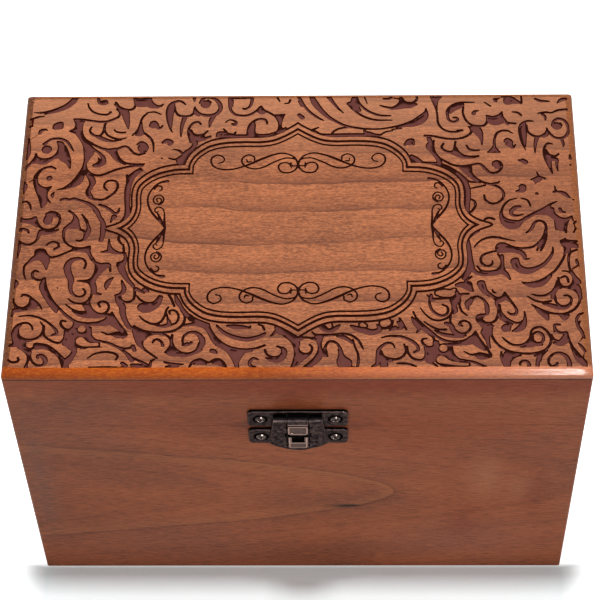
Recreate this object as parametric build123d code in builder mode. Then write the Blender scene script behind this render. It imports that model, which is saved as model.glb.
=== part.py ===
"""Recipe card box: a mitred wooden case and lid on two sunk butt hinges, held shut by a bronze hasp."""

import os

from build123d import *

# ---------------------------------------------------------------- driving dimensions, millimetres
# Case and lid. X is the width, Y runs from the front to the back, Z is up from the table.
box_width = 178.0
box_depth = 108.0
box_height = 127.0
wall = 8.0  # thickness of the mitred sides
case_height = 96.5  # table to the rim of the case
seam_gap = 0.1  # between the two rims
top_thickness = 3.5
top_round = 2.5  # rounded edge of the top board
corner_round = 0.8  # upright corners of the box
floor_thickness = 4.0
floor_rebate = 4.0  # how far the floor is let into the sides
panel_fit = 0.1  # slack of the floor in its rebate, each side
base_arris = 0.4  # eased lower edge of the case
back_bevel = 2.1  # both rims are bevelled at the back; the bevels meet as the lid leans back

# Hinges
hinge_length = 24.0
hinge_inset = 37.0  # end of the box to the middle of a hinge
hinge_knuckles = 3
hinge_sheet = 0.8
hinge_bore = 0.8  # radius of the rolled eye's bore
hinge_pin_slack = 0.05  # radial, pin in its eye
knuckle_gap = 0.2  # between neighbouring knuckles
leaf_width = 5.2  # pin's axis to the leaf's free edge
pocket_clearance = 0.3  # round the turning knuckles
leaf_fit = 0.1  # round the leaf in its seat
hinge_screw_spread = 14.0
hinge_screw_inset = 1.9  # screw's centre to the leaf's free edge
hinge_screw_head = 1.4
hinge_screw_top = 1.4  # radius of the flat top of the head
hinge_screw_dome = 0.4
hinge_screw_length = 6.0

# Screws
shank_radius = 0.9
pilot_clearance = 0.05
hole_clearance = 0.15  # shank in a metal plate
latch_screw_head = 1.9
latch_screw_top = 1.2
latch_screw_dome = 0.8
latch_screw_length = 7.0

# Latch plates, on the front
plate_width = 31.0
plate_sheet = 1.0
plate_corner = 1.6
plate_arris = 0.2  # eased front edges
upper_plate_height = 8.5
upper_plate_lift = 1.4  # seam to the plate's lower edge
lower_plate_height = 8.2
lower_plate_drop = 0.9  # seam to the plate's upper edge
belly_half = 9.4  # round middle of the lower plate
belly_drop = 4.3
latch_screw_x = 11.6

# Knuckle and tongue, in one with the upper plate
latch_sheet = 0.7
latch_bore = 0.65
latch_pin_slack = 0.05
latch_axis_drop = 1.45  # upper plate's top edge to the pin's axis
tongue_width = 6.2
tongue_pad_top = 3.5  # pin's axis down to the flat pad
tongue_length = 8.4  # pin's axis down to the pad's lower edge
tongue_setback = 0.6  # front of the knuckle to the front of the pad
tongue_corner = 1.1
pad_rim = 0.75
pad_dish = 0.15

# Hasp
eye_gap = 0.3  # turning eye to the plate behind it
side_gap = 0.35  # turning eye to the knuckle beside it
hasp_top_half = 7.5
hasp_belly_half = 8.6
hasp_belly_depth = 6.4
hasp_reach = 18.8  # pin's axis to the bottom of the hasp
hasp_crown = 0.8  # how much the sheet bulges at its middle
plate_clearance = 0.3  # outer edges of the hasp to the plates behind them
slot_clearance = 0.6  # each side of the tongue
lip_half = 3.1  # raised lip in the lower end of the slot
lip_ridge_drop = 13.0  # pin's axis to the lip's ridge
lip_length = 3.6  # ridge to the root of the lip
lip_raise = 0.7
prong_length = 2.4  # two prongs stand up from the ridge
prong_width = 1.1
nib_half = 1.7
nib_height = 2.6
nib_stand = 0.8
nib_drop = 0.5  # below the lower plate's upper edge

# ---------------------------------------------------------------- places that follow from them
half_width = box_width / 2
half_depth = box_depth / 2
lid_rim = case_height + seam_gap
lid_underside = box_height - top_thickness

hinge_eye = hinge_bore + hinge_sheet
hinge_axis_y = half_depth - hinge_eye
hinge_axis_z = case_height + seam_gap / 2
leaf_edge_y = hinge_axis_y - leaf_width
pocket_edge_y = hinge_axis_y - hinge_eye - pocket_clearance
hinge_xs = (hinge_inset - half_width, half_width - hinge_inset)
hinge_screw_spots = [
    (x + side * hinge_screw_spread / 2, leaf_edge_y + hinge_screw_inset) for x in hinge_xs for side in (-1, 1)
]

plate_front = -half_depth - plate_sheet
latch_eye = latch_bore + latch_sheet
upper_plate_bottom = case_height + upper_plate_lift
upper_plate_top = upper_plate_bottom + upper_plate_height
upper_plate_middle = upper_plate_bottom + upper_plate_height / 2
lower_plate_top = case_height - lower_plate_drop
lower_plate_bottom = lower_plate_top - lower_plate_height
lower_plate_middle = lower_plate_top - lower_plate_height / 2
latch_axis_y = plate_front - eye_gap - latch_eye
latch_axis_z = upper_plate_top - latch_axis_drop
knuckle_half = tongue_width / 2
slot_half = knuckle_half + slot_clearance
latch_screw_xs = (-latch_screw_x, latch_screw_x)

os.makedirs("parts", exist_ok=True)


def save(builder, name):
    """Label a finished piece and write its STEP file."""
    builder.part.label = name
    export_step(builder.part, f"parts/{name}.step")


# ---------------------------------------------------------------- wooden boards
def cut_back_bevel(rim, up):
    """Bevel the outer back edge of a rim. up is 1 for the lid and -1 for the case."""
    with BuildSketch(Plane.YZ.offset(-half_width)) as bevel:
        with BuildLine():
            Polyline(
                (half_depth - back_bevel, rim),
                (half_depth, rim + up * back_bevel),
                (half_depth, rim),
                close=True,
            )
        make_face()
    extrude(bevel.sketch, amount=box_width, mode=Mode.SUBTRACT)


def cut_hinge_seats(rim, up):
    """Sink a seat for each leaf, and a deeper pocket for its knuckles, into a rim."""
    leaf_seat = abs(hinge_axis_z + up * hinge_eye - rim)
    for inner_edge, depth in (
        (leaf_edge_y - leaf_fit, leaf_seat),
        (pocket_edge_y, leaf_seat + pocket_clearance),
    ):
        with BuildSketch(Plane.XY.offset(rim)) as seat:
            with Locations(*[(x, (inner_edge + half_depth) / 2) for x in hinge_xs]):
                Rectangle(hinge_length + 2 * leaf_fit, half_depth - inner_edge)
        extrude(seat.sketch, amount=up * depth, mode=Mode.SUBTRACT)


def drill_hinge_pilots(rim, up):
    """Blind pilot holes for the hinge screws, upright in the back board."""
    with BuildSketch(Plane.XY.offset(rim)) as pilots:
        with Locations(*hinge_screw_spots):
            Circle(shank_radius + pilot_clearance)
    extrude(pilots.sketch, amount=up * (hinge_screw_length + hinge_bore), mode=Mode.SUBTRACT)


def drill_latch_pilots(height):
    """Blind pilot holes for one latch plate's screws, level in the front board."""
    with BuildSketch(Plane.XZ.offset(half_depth)) as pilots:
        with Locations(*[(x, height) for x in latch_screw_xs]):
            Circle(shank_radius + pilot_clearance)
    extrude(pilots.sketch, amount=plate_sheet - latch_screw_length, mode=Mode.SUBTRACT)


def saw_mitres(ring, name):
    """Saw a four-sided ring into its boards at 45 degrees and save them."""
    mitre = {
        (sx, sy): Plane(origin=(sx * half_width, sy * half_depth, 0), z_dir=(sx, -sy, 0))
        for sx in (-1, 1)
        for sy in (-1, 1)
    }
    cuts = {
        "front": ((-1, -1), (1, -1), Keep.BOTTOM),
        "back": ((-1, 1), (1, 1), Keep.BOTTOM),
        "left": ((-1, -1), (-1, 1), Keep.TOP),
        "right": ((1, -1), (1, 1), Keep.TOP),
    }
    for side, (first, second, keep) in cuts.items():
        with BuildPart() as board:
            add(ring.part)
            split(bisect_by=mitre[first], keep=keep)
            split(bisect_by=mitre[second], keep=keep)
        save(board, f"{name}_{side}")


# Case: four mitred sides round a floor that is let into a rebate from below.
with BuildPart() as case_ring:
    with BuildSketch():
        RectangleRounded(box_width, box_depth, corner_round)
    extrude(amount=case_height)
    chamfer(case_ring.faces().sort_by(Axis.Z)[0].edges(), base_arris)
    with BuildSketch():
        Rectangle(box_width - 2 * wall, box_depth - 2 * wall)
    extrude(amount=case_height, mode=Mode.SUBTRACT)
    with BuildSketch():
        Rectangle(box_width - 2 * (wall - floor_rebate), box_depth - 2 * (wall - floor_rebate))
    extrude(amount=floor_thickness, mode=Mode.SUBTRACT)
    cut_back_bevel(case_height, -1)
    cut_hinge_seats(case_height, -1)
    drill_hinge_pilots(case_height, -1)
    drill_latch_pilots(lower_plate_middle)
saw_mitres(case_ring, "case")

with BuildPart() as case_floor:
    with BuildSketch():
        Rectangle(
            box_width - 2 * (wall - floor_rebate + panel_fit),
            box_depth - 2 * (wall - floor_rebate + panel_fit),
        )
    extrude(amount=floor_thickness)
save(case_floor, "case_floor")

# Lid: four mitred rails under a thin board with rounded edges.
with BuildPart() as lid_ring:
    with BuildSketch(Plane.XY.offset(lid_rim)):
        RectangleRounded(box_width, box_depth, corner_round)
        Rectangle(box_width - 2 * wall, box_depth - 2 * wall, mode=Mode.SUBTRACT)
    extrude(amount=lid_underside - lid_rim)
    cut_back_bevel(lid_rim, 1)
    cut_hinge_seats(lid_rim, 1)
    drill_hinge_pilots(lid_rim, 1)
    drill_latch_pilots(upper_plate_middle)
saw_mitres(lid_ring, "lid")

with BuildPart() as lid_top:
    with BuildSketch(Plane.XY.offset(lid_underside)):
        RectangleRounded(box_width, box_depth, corner_round)
    extrude(amount=top_thickness)
    fillet(lid_top.faces().sort_by(Axis.Z)[-1].edges(), top_round)
save(lid_top, "lid_top")


# ---------------------------------------------------------------- screws
def save_screws(name, face, spots, head, head_top, dome, length):
    """Identical screws in one node, their heads down on a sheet of metal whose face is given."""
    with BuildPart() as one:
        with BuildSketch(Plane.XZ):
            with BuildLine():
                Polyline(
                    (0, dome),
                    (head_top, dome),
                    (head, 0),
                    (shank_radius, 0),
                    (shank_radius, -length),
                    (0, -length),
                    close=True,
                )
            make_face()
        revolve(axis=Axis.Z)
    with BuildPart(face) as screws:
        with Locations(*spots):
            add(one.part)
    save(screws, name)


# ---------------------------------------------------------------- hinges
def build_leaf(centre_x, up):
    """One leaf, tangent to its rolled knuckles. up is 1 for the lid's leaf and -1 for the case's."""
    face_z = hinge_axis_z + up * hinge_bore
    first_knuckle = 0 if up < 0 else 1
    pitch = hinge_length / hinge_knuckles
    with BuildPart() as leaf:
        with BuildSketch(Plane.XY.offset(face_z)):
            with Locations((centre_x, (leaf_edge_y + pocket_edge_y) / 2)):
                Rectangle(hinge_length, pocket_edge_y - leaf_edge_y)
        extrude(amount=up * hinge_sheet)
        for n in range(first_knuckle, hinge_knuckles, 2):
            start_x = centre_x - hinge_length / 2 + n * pitch + knuckle_gap / 2
            with BuildSketch(Plane.YZ.offset(start_x)):
                with Locations((hinge_axis_y, hinge_axis_z)):
                    Circle(hinge_eye)
                with Locations(((pocket_edge_y + hinge_axis_y) / 2, face_z + up * hinge_sheet / 2)):
                    Rectangle(hinge_axis_y - pocket_edge_y, hinge_sheet)
                with Locations((hinge_axis_y, hinge_axis_z)):
                    Circle(hinge_bore, mode=Mode.SUBTRACT)
            extrude(amount=pitch - knuckle_gap)
        with Locations(*[(x, y, face_z) for x, y in hinge_screw_spots if abs(x - centre_x) < hinge_length]):
            Hole(shank_radius + hole_clearance)
    return leaf


for centre_x, side in zip(hinge_xs, ("left", "right")):
    save(build_leaf(centre_x, -1), f"case_hinge_leaf_{side}")
    save(build_leaf(centre_x, 1), f"lid_hinge_leaf_{side}")
    with BuildPart() as hinge_pin:
        with BuildSketch(Plane.YZ.offset(centre_x - hinge_length / 2)):
            with Locations((hinge_axis_y, hinge_axis_z)):
                Circle(hinge_bore - hinge_pin_slack)
        extrude(amount=hinge_length)
    save(hinge_pin, f"hinge_pin_{side}")

case_leaf_face = Plane(origin=(0, 0, hinge_axis_z - hinge_bore), z_dir=(0, 0, 1))
lid_leaf_face = Plane(origin=(0, 0, hinge_axis_z + hinge_bore), x_dir=(1, 0, 0), z_dir=(0, 0, -1))
hinge_screw = (hinge_screw_head, hinge_screw_top, hinge_screw_dome, hinge_screw_length)
save_screws("case_hinge_screws", case_leaf_face, hinge_screw_spots, *hinge_screw)
save_screws("lid_hinge_screws", lid_leaf_face, [(x, -y) for x, y in hinge_screw_spots], *hinge_screw)


# ---------------------------------------------------------------- latch plates
def finish_plate(plate, height):
    """Ease the front edges of a latch plate and drill its screw holes."""
    front = plate.faces().filter_by(Plane.XZ).sort_by(Axis.Y)[0]
    chamfer(front.edges(), plate_arris)
    with Locations(*[Plane(origin=(x, plate_front, height), z_dir=(0, -1, 0)) for x in latch_screw_xs]):
        Hole(shank_radius + hole_clearance)


# Upper plate. A strip from its middle runs over the pin, rolls round it and hangs down as a tongue.
tongue_front = latch_axis_y - latch_eye + tongue_setback
with BuildPart() as latch_plate:
    with BuildSketch(Plane.XZ.offset(half_depth)):
        with Locations((0, upper_plate_middle)):
            RectangleRounded(plate_width, upper_plate_height, plate_corner)
    extrude(amount=plate_sheet)
    finish_plate(latch_plate, upper_plate_middle)
    with BuildSketch(Plane.YZ.offset(-knuckle_half)):
        with Locations((latch_axis_y, latch_axis_z)):
            Circle(latch_eye)
        with Locations(((latch_axis_y + plate_front) / 2, latch_axis_z + latch_bore + latch_sheet / 2)):
            Rectangle(plate_front - latch_axis_y, latch_sheet)
        with BuildLine():
            neck = Spline(
                (latch_axis_y, latch_axis_z - latch_eye + latch_sheet / 2),
                (tongue_front + latch_sheet / 2, latch_axis_z - tongue_pad_top),
                tangents=((-1, -1), (0, -1)),
            )
            Line(neck @ 1, (tongue_front + latch_sheet / 2, latch_axis_z - tongue_length))
        trace(line_width=latch_sheet)
        with Locations((latch_axis_y, latch_axis_z)):
            Circle(latch_bore, mode=Mode.SUBTRACT)
    extrude(amount=tongue_width)
    tongue_foot = latch_plate.faces().filter_by(Plane.XY).sort_by(Axis.Z)[0]
    fillet(tongue_foot.edges().filter_by(Axis.Y), tongue_corner)
    pad_height = tongue_length - tongue_pad_top
    with BuildSketch(Plane.XZ.offset(-tongue_front)):
        with Locations((0, latch_axis_z - tongue_pad_top - pad_height / 2)):
            RectangleRounded(tongue_width - 2 * pad_rim, pad_height - 2 * pad_rim, tongue_corner - pad_rim / 2)
    extrude(amount=-pad_dish, mode=Mode.SUBTRACT)
save(latch_plate, "latch_plate")

# Lower plate, with the nib that the hasp's lip springs over.
with BuildPart() as catch_plate:
    with BuildSketch(Plane.XZ.offset(half_depth)):
        with Locations((0, lower_plate_middle)):
            RectangleRounded(plate_width, lower_plate_height, plate_corner)
        with BuildLine():
            belly = ThreePointArc(
                (-belly_half, lower_plate_bottom),
                (0, lower_plate_bottom - belly_drop),
                (belly_half, lower_plate_bottom),
            )
            Polyline(belly @ 1, (belly_half, lower_plate_middle), (-belly_half, lower_plate_middle), belly @ 0)
        make_face()
    extrude(amount=plate_sheet)
    finish_plate(catch_plate, lower_plate_middle)
    with BuildSketch(Plane.YZ.offset(-nib_half)):
        nib_top = lower_plate_top - nib_drop
        with BuildLine():
            ThreePointArc(
                (plate_front, nib_top),
                (plate_front - nib_stand, nib_top - nib_height * 2 / 3),
                (plate_front, nib_top - nib_height),
            )
            Line((plate_front, nib_top - nib_height), (plate_front, nib_top))
        make_face()
    extrude(amount=2 * nib_half)
save(catch_plate, "catch_plate")

with BuildPart() as latch_pin:
    with BuildSketch(Plane.YZ.offset(-hasp_top_half)):
        with Locations((latch_axis_y, latch_axis_z)):
            Circle(latch_bore - latch_pin_slack)
    extrude(amount=2 * hasp_top_half)
save(latch_pin, "latch_pin")

upper_face = Plane(origin=(0, plate_front, upper_plate_middle), z_dir=(0, -1, 0), x_dir=(1, 0, 0))
lower_face = Plane(origin=(0, plate_front, lower_plate_middle), z_dir=(0, -1, 0), x_dir=(1, 0, 0))
latch_screw = (latch_screw_head, latch_screw_top, latch_screw_dome, latch_screw_length)
latch_screw_spots = [(x, 0) for x in latch_screw_xs]
save_screws("latch_plate_screws", upper_face, latch_screw_spots, *latch_screw)
save_screws("catch_plate_screws", lower_face, latch_screw_spots, *latch_screw)

# ---------------------------------------------------------------- hasp
# A crowned shield hung on two rolled eyes, slotted for the tongue. In the lower end of the slot
# stands a raised lip with two prongs.
hasp_edge_y = plate_front - plate_clearance
crown_radius = (hasp_belly_half**2 + hasp_crown**2) / (2 * hasp_crown)
crown_centre_y = hasp_edge_y - hasp_crown + crown_radius
sheet_front_y = crown_centre_y - crown_radius - latch_sheet
hasp_bottom = latch_axis_z - hasp_reach
belly_centre_z = hasp_bottom + hasp_belly_depth
ridge_z = latch_axis_z - lip_ridge_drop
lip_root_z = ridge_z - lip_length
prong_top_z = ridge_z + prong_length
with BuildPart() as hasp:
    with BuildSketch(Plane.XY.offset(hasp_bottom)):
        with Locations((0, crown_centre_y)):
            Circle(crown_radius + latch_sheet)
            Circle(crown_radius, mode=Mode.SUBTRACT)
    extrude(amount=hasp_reach)
    with BuildSketch(Plane.XZ.offset(half_depth)):
        with BuildLine():
            foot = EllipticalCenterArc(
                (0, belly_centre_z), hasp_belly_half, hasp_belly_depth, start_angle=180, arc_size=180
            )
            Polyline(foot @ 1, (hasp_top_half, latch_axis_z), (-hasp_top_half, latch_axis_z), foot @ 0)
        make_face()
        with Locations((0, (latch_axis_z + lip_root_z) / 2)):
            Rectangle(2 * slot_half, latch_axis_z - lip_root_z, mode=Mode.SUBTRACT)
    extrude(amount=half_depth, mode=Mode.INTERSECT)
    with BuildSketch(Plane.YZ.offset(-hasp_top_half)):
        with Locations((latch_axis_y, latch_axis_z)):
            Circle(latch_eye)
    extrude(amount=2 * hasp_top_half)
    with BuildSketch(Plane.YZ.offset(-knuckle_half - side_gap)):
        with Locations((latch_axis_y, latch_axis_z)):
            Circle(latch_eye + side_gap)
    extrude(amount=2 * (knuckle_half + side_gap), mode=Mode.SUBTRACT)
    with BuildSketch(Plane.YZ.offset(-hasp_top_half)):
        with Locations((latch_axis_y, latch_axis_z)):
            Circle(latch_bore)
    extrude(amount=2 * hasp_top_half, mode=Mode.SUBTRACT)
    with BuildSketch(Plane.YZ.offset(-lip_half)):
        with BuildLine():
            middle_y = sheet_front_y + latch_sheet / 2
            rise = Spline(
                (middle_y, lip_root_z - latch_sheet),
                (middle_y - lip_raise, lip_root_z + latch_sheet),
                tangents=((0, 1), (0, 1)),
            )
            Polyline(rise @ 1, (middle_y - lip_raise, ridge_z), (middle_y, prong_top_z))
        trace(line_width=latch_sheet)
    extrude(amount=2 * lip_half)
    with BuildSketch(Plane.XZ.offset(half_depth)):
        with Locations((0, ridge_z + prong_length)):
            Rectangle(2 * (lip_half - prong_width), 2 * prong_length)
    extrude(amount=half_depth, mode=Mode.SUBTRACT)
save(hasp, "hasp")
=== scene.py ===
# %% [markdown]
# # A wooden recipe card box with a carved lid
#
# The object is a mitred hardwood box with a hinged lid, a lid top that is
# engraved all over with scrollwork round a plain panel, and an antique bronze
# latch. The solids, their places and their joints come from the frame, which
# this lesson only dresses. Every piece made here stays inside those solids'
# box and moves with one of their three bodies: the case, the lid and the hasp.

import math

import bpy
import numpy as np
from mathutils import Matrix, Vector
from mathutils.geometry import delaunay_2d_cdt


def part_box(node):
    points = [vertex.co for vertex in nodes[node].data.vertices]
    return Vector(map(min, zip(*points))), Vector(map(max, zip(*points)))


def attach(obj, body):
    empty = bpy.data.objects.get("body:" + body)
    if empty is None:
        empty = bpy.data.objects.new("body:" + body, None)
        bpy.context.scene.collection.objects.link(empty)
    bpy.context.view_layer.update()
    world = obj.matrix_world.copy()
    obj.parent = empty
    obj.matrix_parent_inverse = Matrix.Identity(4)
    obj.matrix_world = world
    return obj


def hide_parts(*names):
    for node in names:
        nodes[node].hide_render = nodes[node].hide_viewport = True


MM = 0.001  # the frame is in metres, and a small box is easier to think of in millimetres
TO_MM = (1000, 1000, 1000)  # factors that turn a place in metres into one in millimetres

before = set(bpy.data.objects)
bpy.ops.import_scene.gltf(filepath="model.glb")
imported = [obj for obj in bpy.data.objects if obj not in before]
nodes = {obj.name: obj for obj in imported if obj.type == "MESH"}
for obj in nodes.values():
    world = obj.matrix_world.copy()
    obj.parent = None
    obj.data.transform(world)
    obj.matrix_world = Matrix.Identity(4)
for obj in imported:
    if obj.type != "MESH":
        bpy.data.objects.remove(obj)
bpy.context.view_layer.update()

# %% [markdown]
# ## Where the viewer stands
#
# A product shot of a box is taken from well above its front, with a long lens,
# so that the lid shows as fully as the front. A long lens keeps upright edges
# nearly parallel. The camera is placed by three angles and a point: how far it
# looks down, how far it turns aside, and a slight tilt of the horizon.

# %% Camera
frame_width = 600  # pixels
focal_length = 2180.5  # in the same pixels
look_down, turn_aside, tilt = 0.984, -0.0325, -0.0302  # radians
eye = Vector((12.9, -396.3, 682.1)) * MM

forward = Vector(
    (math.sin(turn_aside) * math.cos(look_down), math.cos(turn_aside) * math.cos(look_down), -math.sin(look_down))
)
level_right = Vector((math.cos(turn_aside), -math.sin(turn_aside), 0))
level_up = level_right.cross(forward)
right = math.cos(tilt) * level_right + math.sin(tilt) * level_up
up = math.cos(tilt) * level_up - math.sin(tilt) * level_right

lens = bpy.data.cameras.new("long_lens")
lens.sensor_width = 36
lens.lens = focal_length / frame_width * lens.sensor_width
viewer = bpy.data.objects.new("viewer", lens)
viewer.matrix_world = Matrix((right, up, -forward)).transposed().to_4x4()
viewer.location = eye
bpy.context.scene.collection.objects.link(viewer)
bpy.context.scene.camera = viewer
print("lens", round(lens.lens, 1), "mm")

# %% [markdown]
# ## Small helpers for node trees
#
# Every finish below is a tree of nodes. Two helpers keep the trees short
# enough to read: one adds a node and fills its sockets, and one does sums. The
# others do what is needed again and again: mixing, noise, a new object.


# %% Node helpers
def add(tree, kind, values=None, **settings):
    """One node. values maps a socket's name or number to a value, or to the output that feeds it."""
    node = tree.nodes.new(kind)
    for name, value in settings.items():
        setattr(node, name, value)
    for socket, value in (values or {}).items():
        if isinstance(value, bpy.types.NodeSocket):
            tree.links.new(value, node.inputs[socket])
        else:
            node.inputs[socket].default_value = value
    return node


def math_node(tree, operation, first, second=0.0, third=0.0, clamp=False):
    """The result of one sum, from numbers or outputs."""
    node = add(tree, "ShaderNodeMath", {0: first, 1: second, 2: third}, operation=operation, use_clamp=clamp)
    return node.outputs[0]


def scaled(tree, vector, factors):
    """A vector stretched by a factor along each axis."""
    return add(tree, "ShaderNodeVectorMath", {0: vector, 1: factors}, operation="MULTIPLY").outputs[0]


def noise(tree, vector, detail=2.0, roughness=0.5):
    """Smooth noise from 0 to 1 with a grain of one unit."""
    values = {"Vector": vector, "Scale": 1.0, "Detail": detail, "Roughness": roughness}
    return add(tree, "ShaderNodeTexNoise", values).outputs["Fac"]


def ramp(tree, value, *stops):
    """A curve through (position, height) stops."""
    node = add(tree, "ShaderNodeValToRGB", {"Fac": value})
    handles = node.color_ramp.elements
    while len(handles) < len(stops):
        handles.new(0.5)
    for handle, (position, height) in zip(handles, stops):
        handle.position = position
        handle.color = (height, height, height, 1)
    return node.outputs["Color"]


def mixed(tree, factor, first, second, blend="MIX"):
    """Two colours mixed."""
    values = {0: factor, 6: first, 7: second}
    return add(tree, "ShaderNodeMix", values, data_type="RGBA", blend_type=blend).outputs[2]


def new_object(name, data):
    """An object in the scene that shows a mesh, a lamp or a camera."""
    thing = bpy.data.objects.new(name, data)
    bpy.context.scene.collection.objects.link(thing)
    return thing


def new_group(name, inputs, outputs):
    """An empty node group with named sockets, and its two end nodes."""
    tree = bpy.data.node_groups.new(name, "ShaderNodeTree")
    for direction, sockets in (("INPUT", inputs), ("OUTPUT", outputs)):
        for socket_name, kind, default in sockets:
            socket = tree.interface.new_socket(socket_name, in_out=direction, socket_type="NodeSocket" + kind)
            if default is not None:
                socket.default_value = default
    return tree, tree.nodes.new("NodeGroupInput"), tree.nodes.new("NodeGroupOutput")


def new_material(name, **shader_values):
    """A material with one Principled shader, and values set on the shader's own sockets."""
    material = bpy.data.materials.new(name)
    material.use_nodes = True
    tree = material.node_tree
    shader = tree.nodes["Principled BSDF"]
    for socket, value in shader_values.items():
        shader.inputs[socket.replace("_", " ")].default_value = value
    return material, tree, shader


def colour(red, green, blue):
    """A colour written as it looks on a screen, 0 to 255, turned into the linear one that shaders use."""
    return tuple(((v / 255 + 0.055) / 1.055) ** 2.4 if v > 10 else v / 255 / 12.92 for v in (red, green, blue)) + (1,)


print("helpers ready")

# %% [markdown]
# ## Wood, grown once and cut many times
#
# A plank shows the tree's growth rings, cut lengthways. The rings are nested
# tubes round the pith that widen slowly towards the root, so a board cut near
# the pith shows arches, and one cut far from it shows straight lines. One node
# group grows such a tree: it measures how far a point is from the pith, lets
# that distance wander a little, and counts rings. Each board then only says
# where its pith runs. Because the pattern is solid, the ends of a board show
# the ring's arcs without further work. Fine fibres, pores and slow patches of
# stain are noise, stretched along the grain.

# %% The wood group
wood_group, wood_in, wood_out = new_group(
    "grown wood",
    [
        ("Place", "Vector", None),
        ("Pith Y", "Float", 0.0),
        ("Pith Z", "Float", 0.0),
        ("Taper", "Float", 0.05),
        ("Ring Width", "Float", 3.0),
        ("Wander", "Float", 3.0),
        ("Ring Strength", "Float", 0.5),
        ("Fibre Strength", "Float", 0.5),
        ("Pale", "Color", colour(200, 135, 95)),
        ("Deep", "Color", colour(150, 85, 55)),
        ("Stain", "Color", colour(120, 70, 50)),
    ],
    [("Color", "Color", None), ("Height", "Float", None)],
)
t = wood_group
wood_place = wood_in.outputs["Place"]
place = add(t, "ShaderNodeSeparateXYZ", {0: wood_place})
wander = math_node(
    t,
    "MULTIPLY",
    math_node(t, "SUBTRACT", noise(t, scaled(t, wood_place, (0.013, 0.05, 0.05)), 3.0, 0.55), 0.5),
    wood_in.outputs["Wander"],
)
across = math_node(t, "SUBTRACT", place.outputs["Y"], wood_in.outputs["Pith Y"])
above = math_node(t, "SUBTRACT", place.outputs["Z"], wood_in.outputs["Pith Z"])
radius = math_node(t, "SQRT", math_node(t, "MULTIPLY_ADD", across, across, math_node(t, "MULTIPLY", above, above)))
taper = math_node(t, "MULTIPLY_ADD", place.outputs["X"], wood_in.outputs["Taper"], wander)
rings = math_node(t, "DIVIDE", math_node(t, "ADD", radius, taper), wood_in.outputs["Ring Width"])
ring_edge = ramp(t, math_node(t, "FRACT", rings), (0.0, 0.25), (0.12, 0.0), (0.6, 0.1), (0.9, 0.9), (1.0, 0.55))
ring_number = math_node(t, "FLOOR", rings)
ring_mood = add(t, "ShaderNodeTexWhiteNoise", {"W": ring_number}, noise_dimensions="1D").outputs["Value"]
ring_line = math_node(t, "MULTIPLY", ring_edge, math_node(t, "MULTIPLY_ADD", ring_mood, 0.85, 0.15))
band_seed = add(t, "ShaderNodeCombineXYZ", {0: math_node(t, "MULTIPLY", rings, 0.42), 1: 3.7})
bands = noise(t, band_seed.outputs[0], 2.0)
fibre = ramp(t, noise(t, scaled(t, wood_place, (0.22, 1.8, 1.8)), 4.0, 0.75), (0.3, 0.0), (0.7, 1.0))
fleck_noise = noise(t, scaled(t, wood_place, (0.3, 4.2, 4.2)), 2.0)
flecks = ramp(t, fleck_noise, (0.0, 0.0), (0.6, 0.0), (0.74, 1.0))
patches = noise(t, scaled(t, wood_place, (0.016, 0.034, 0.034)), 3.0, 0.6)
depth = math_node(t, "MULTIPLY_ADD", ring_line, wood_in.outputs["Ring Strength"], math_node(t, "SUBTRACT", bands, 0.32))
depth = math_node(
    t, "MULTIPLY_ADD", math_node(t, "SUBTRACT", fibre, 0.5), wood_in.outputs["Fibre Strength"], depth, clamp=True
)
body = mixed(t, depth, wood_in.outputs["Pale"], wood_in.outputs["Deep"])
body = mixed(t, ramp(t, patches, (0.42, 0.0), (0.68, 0.62)), body, wood_in.outputs["Stain"])
body = mixed(t, math_node(t, "MULTIPLY", flecks, 0.35), body, wood_in.outputs["Stain"], "MULTIPLY")
t.links.new(body, wood_out.inputs["Color"])
t.links.new(
    math_node(t, "SUBTRACT", math_node(t, "MULTIPLY", fibre, 0.5), flecks), wood_out.inputs["Height"]
)
print("wood group", len(t.nodes), "nodes")

# %% [markdown]
# ## A finish for every board
#
# Each board gets its own material, because each was sawn from its own place
# in the tree. A board whose length runs from front to back turns the pattern
# by a quarter turn with a Mapping node. The front of the case and the front of
# the lid are one board, sawn apart after gluing up, so they share a material
# and the arches of the grain run on across the seam.

# %% Boards
def board_finish(
    name, pith, taper, ring_width, wander, strength, fibre, shades, turned=False, sheen=0.4, shift=0.0, shine=0.3
):
    """The material of one board.

    pith is the pith's (Y, Z), across the board's own grain, ring_width the distance between rings, wander how
    far they stray and shift how far along the tree the board was sawn, all in millimetres. strength and fibre
    are how clearly rings and fibres show, sheen is how much wax lies on the wood, shine how the wood reflects.
    A turned board runs from front to back.
    """
    material, tree, shader = new_material(
        name, Roughness=0.55, Specular_IOR_Level=shine, Coat_Weight=sheen, Coat_Roughness=0.22
    )
    texture_place = add(tree, "ShaderNodeTexCoord")
    quarter_turn = math.radians(90) if turned else 0
    placing = {"Scale": TO_MM, "Location": (shift, 0, 0), "Rotation": (0, 0, quarter_turn)}
    mapping = add(tree, "ShaderNodeMapping", {0: texture_place.outputs["Object"], **placing})
    values = {
        "Place": mapping.outputs[0],
        "Pith Y": pith[0],
        "Pith Z": pith[1],
        "Taper": taper,
        "Ring Width": ring_width,
        "Wander": wander,
        "Ring Strength": strength,
        "Fibre Strength": fibre,
        "Pale": shades[0],
        "Deep": shades[1],
        "Stain": shades[2],
    }
    wood = add(tree, "ShaderNodeGroup", values, node_tree=wood_group)
    tree.links.new(wood.outputs["Color"], shader.inputs["Base Color"])
    bump = add(tree, "ShaderNodeBump", {"Strength": 0.12, "Distance": 0.0002, "Height": wood.outputs["Height"]})
    tree.links.new(bump.outputs[0], shader.inputs["Normal"])
    return material, tree, wood, shader


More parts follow.
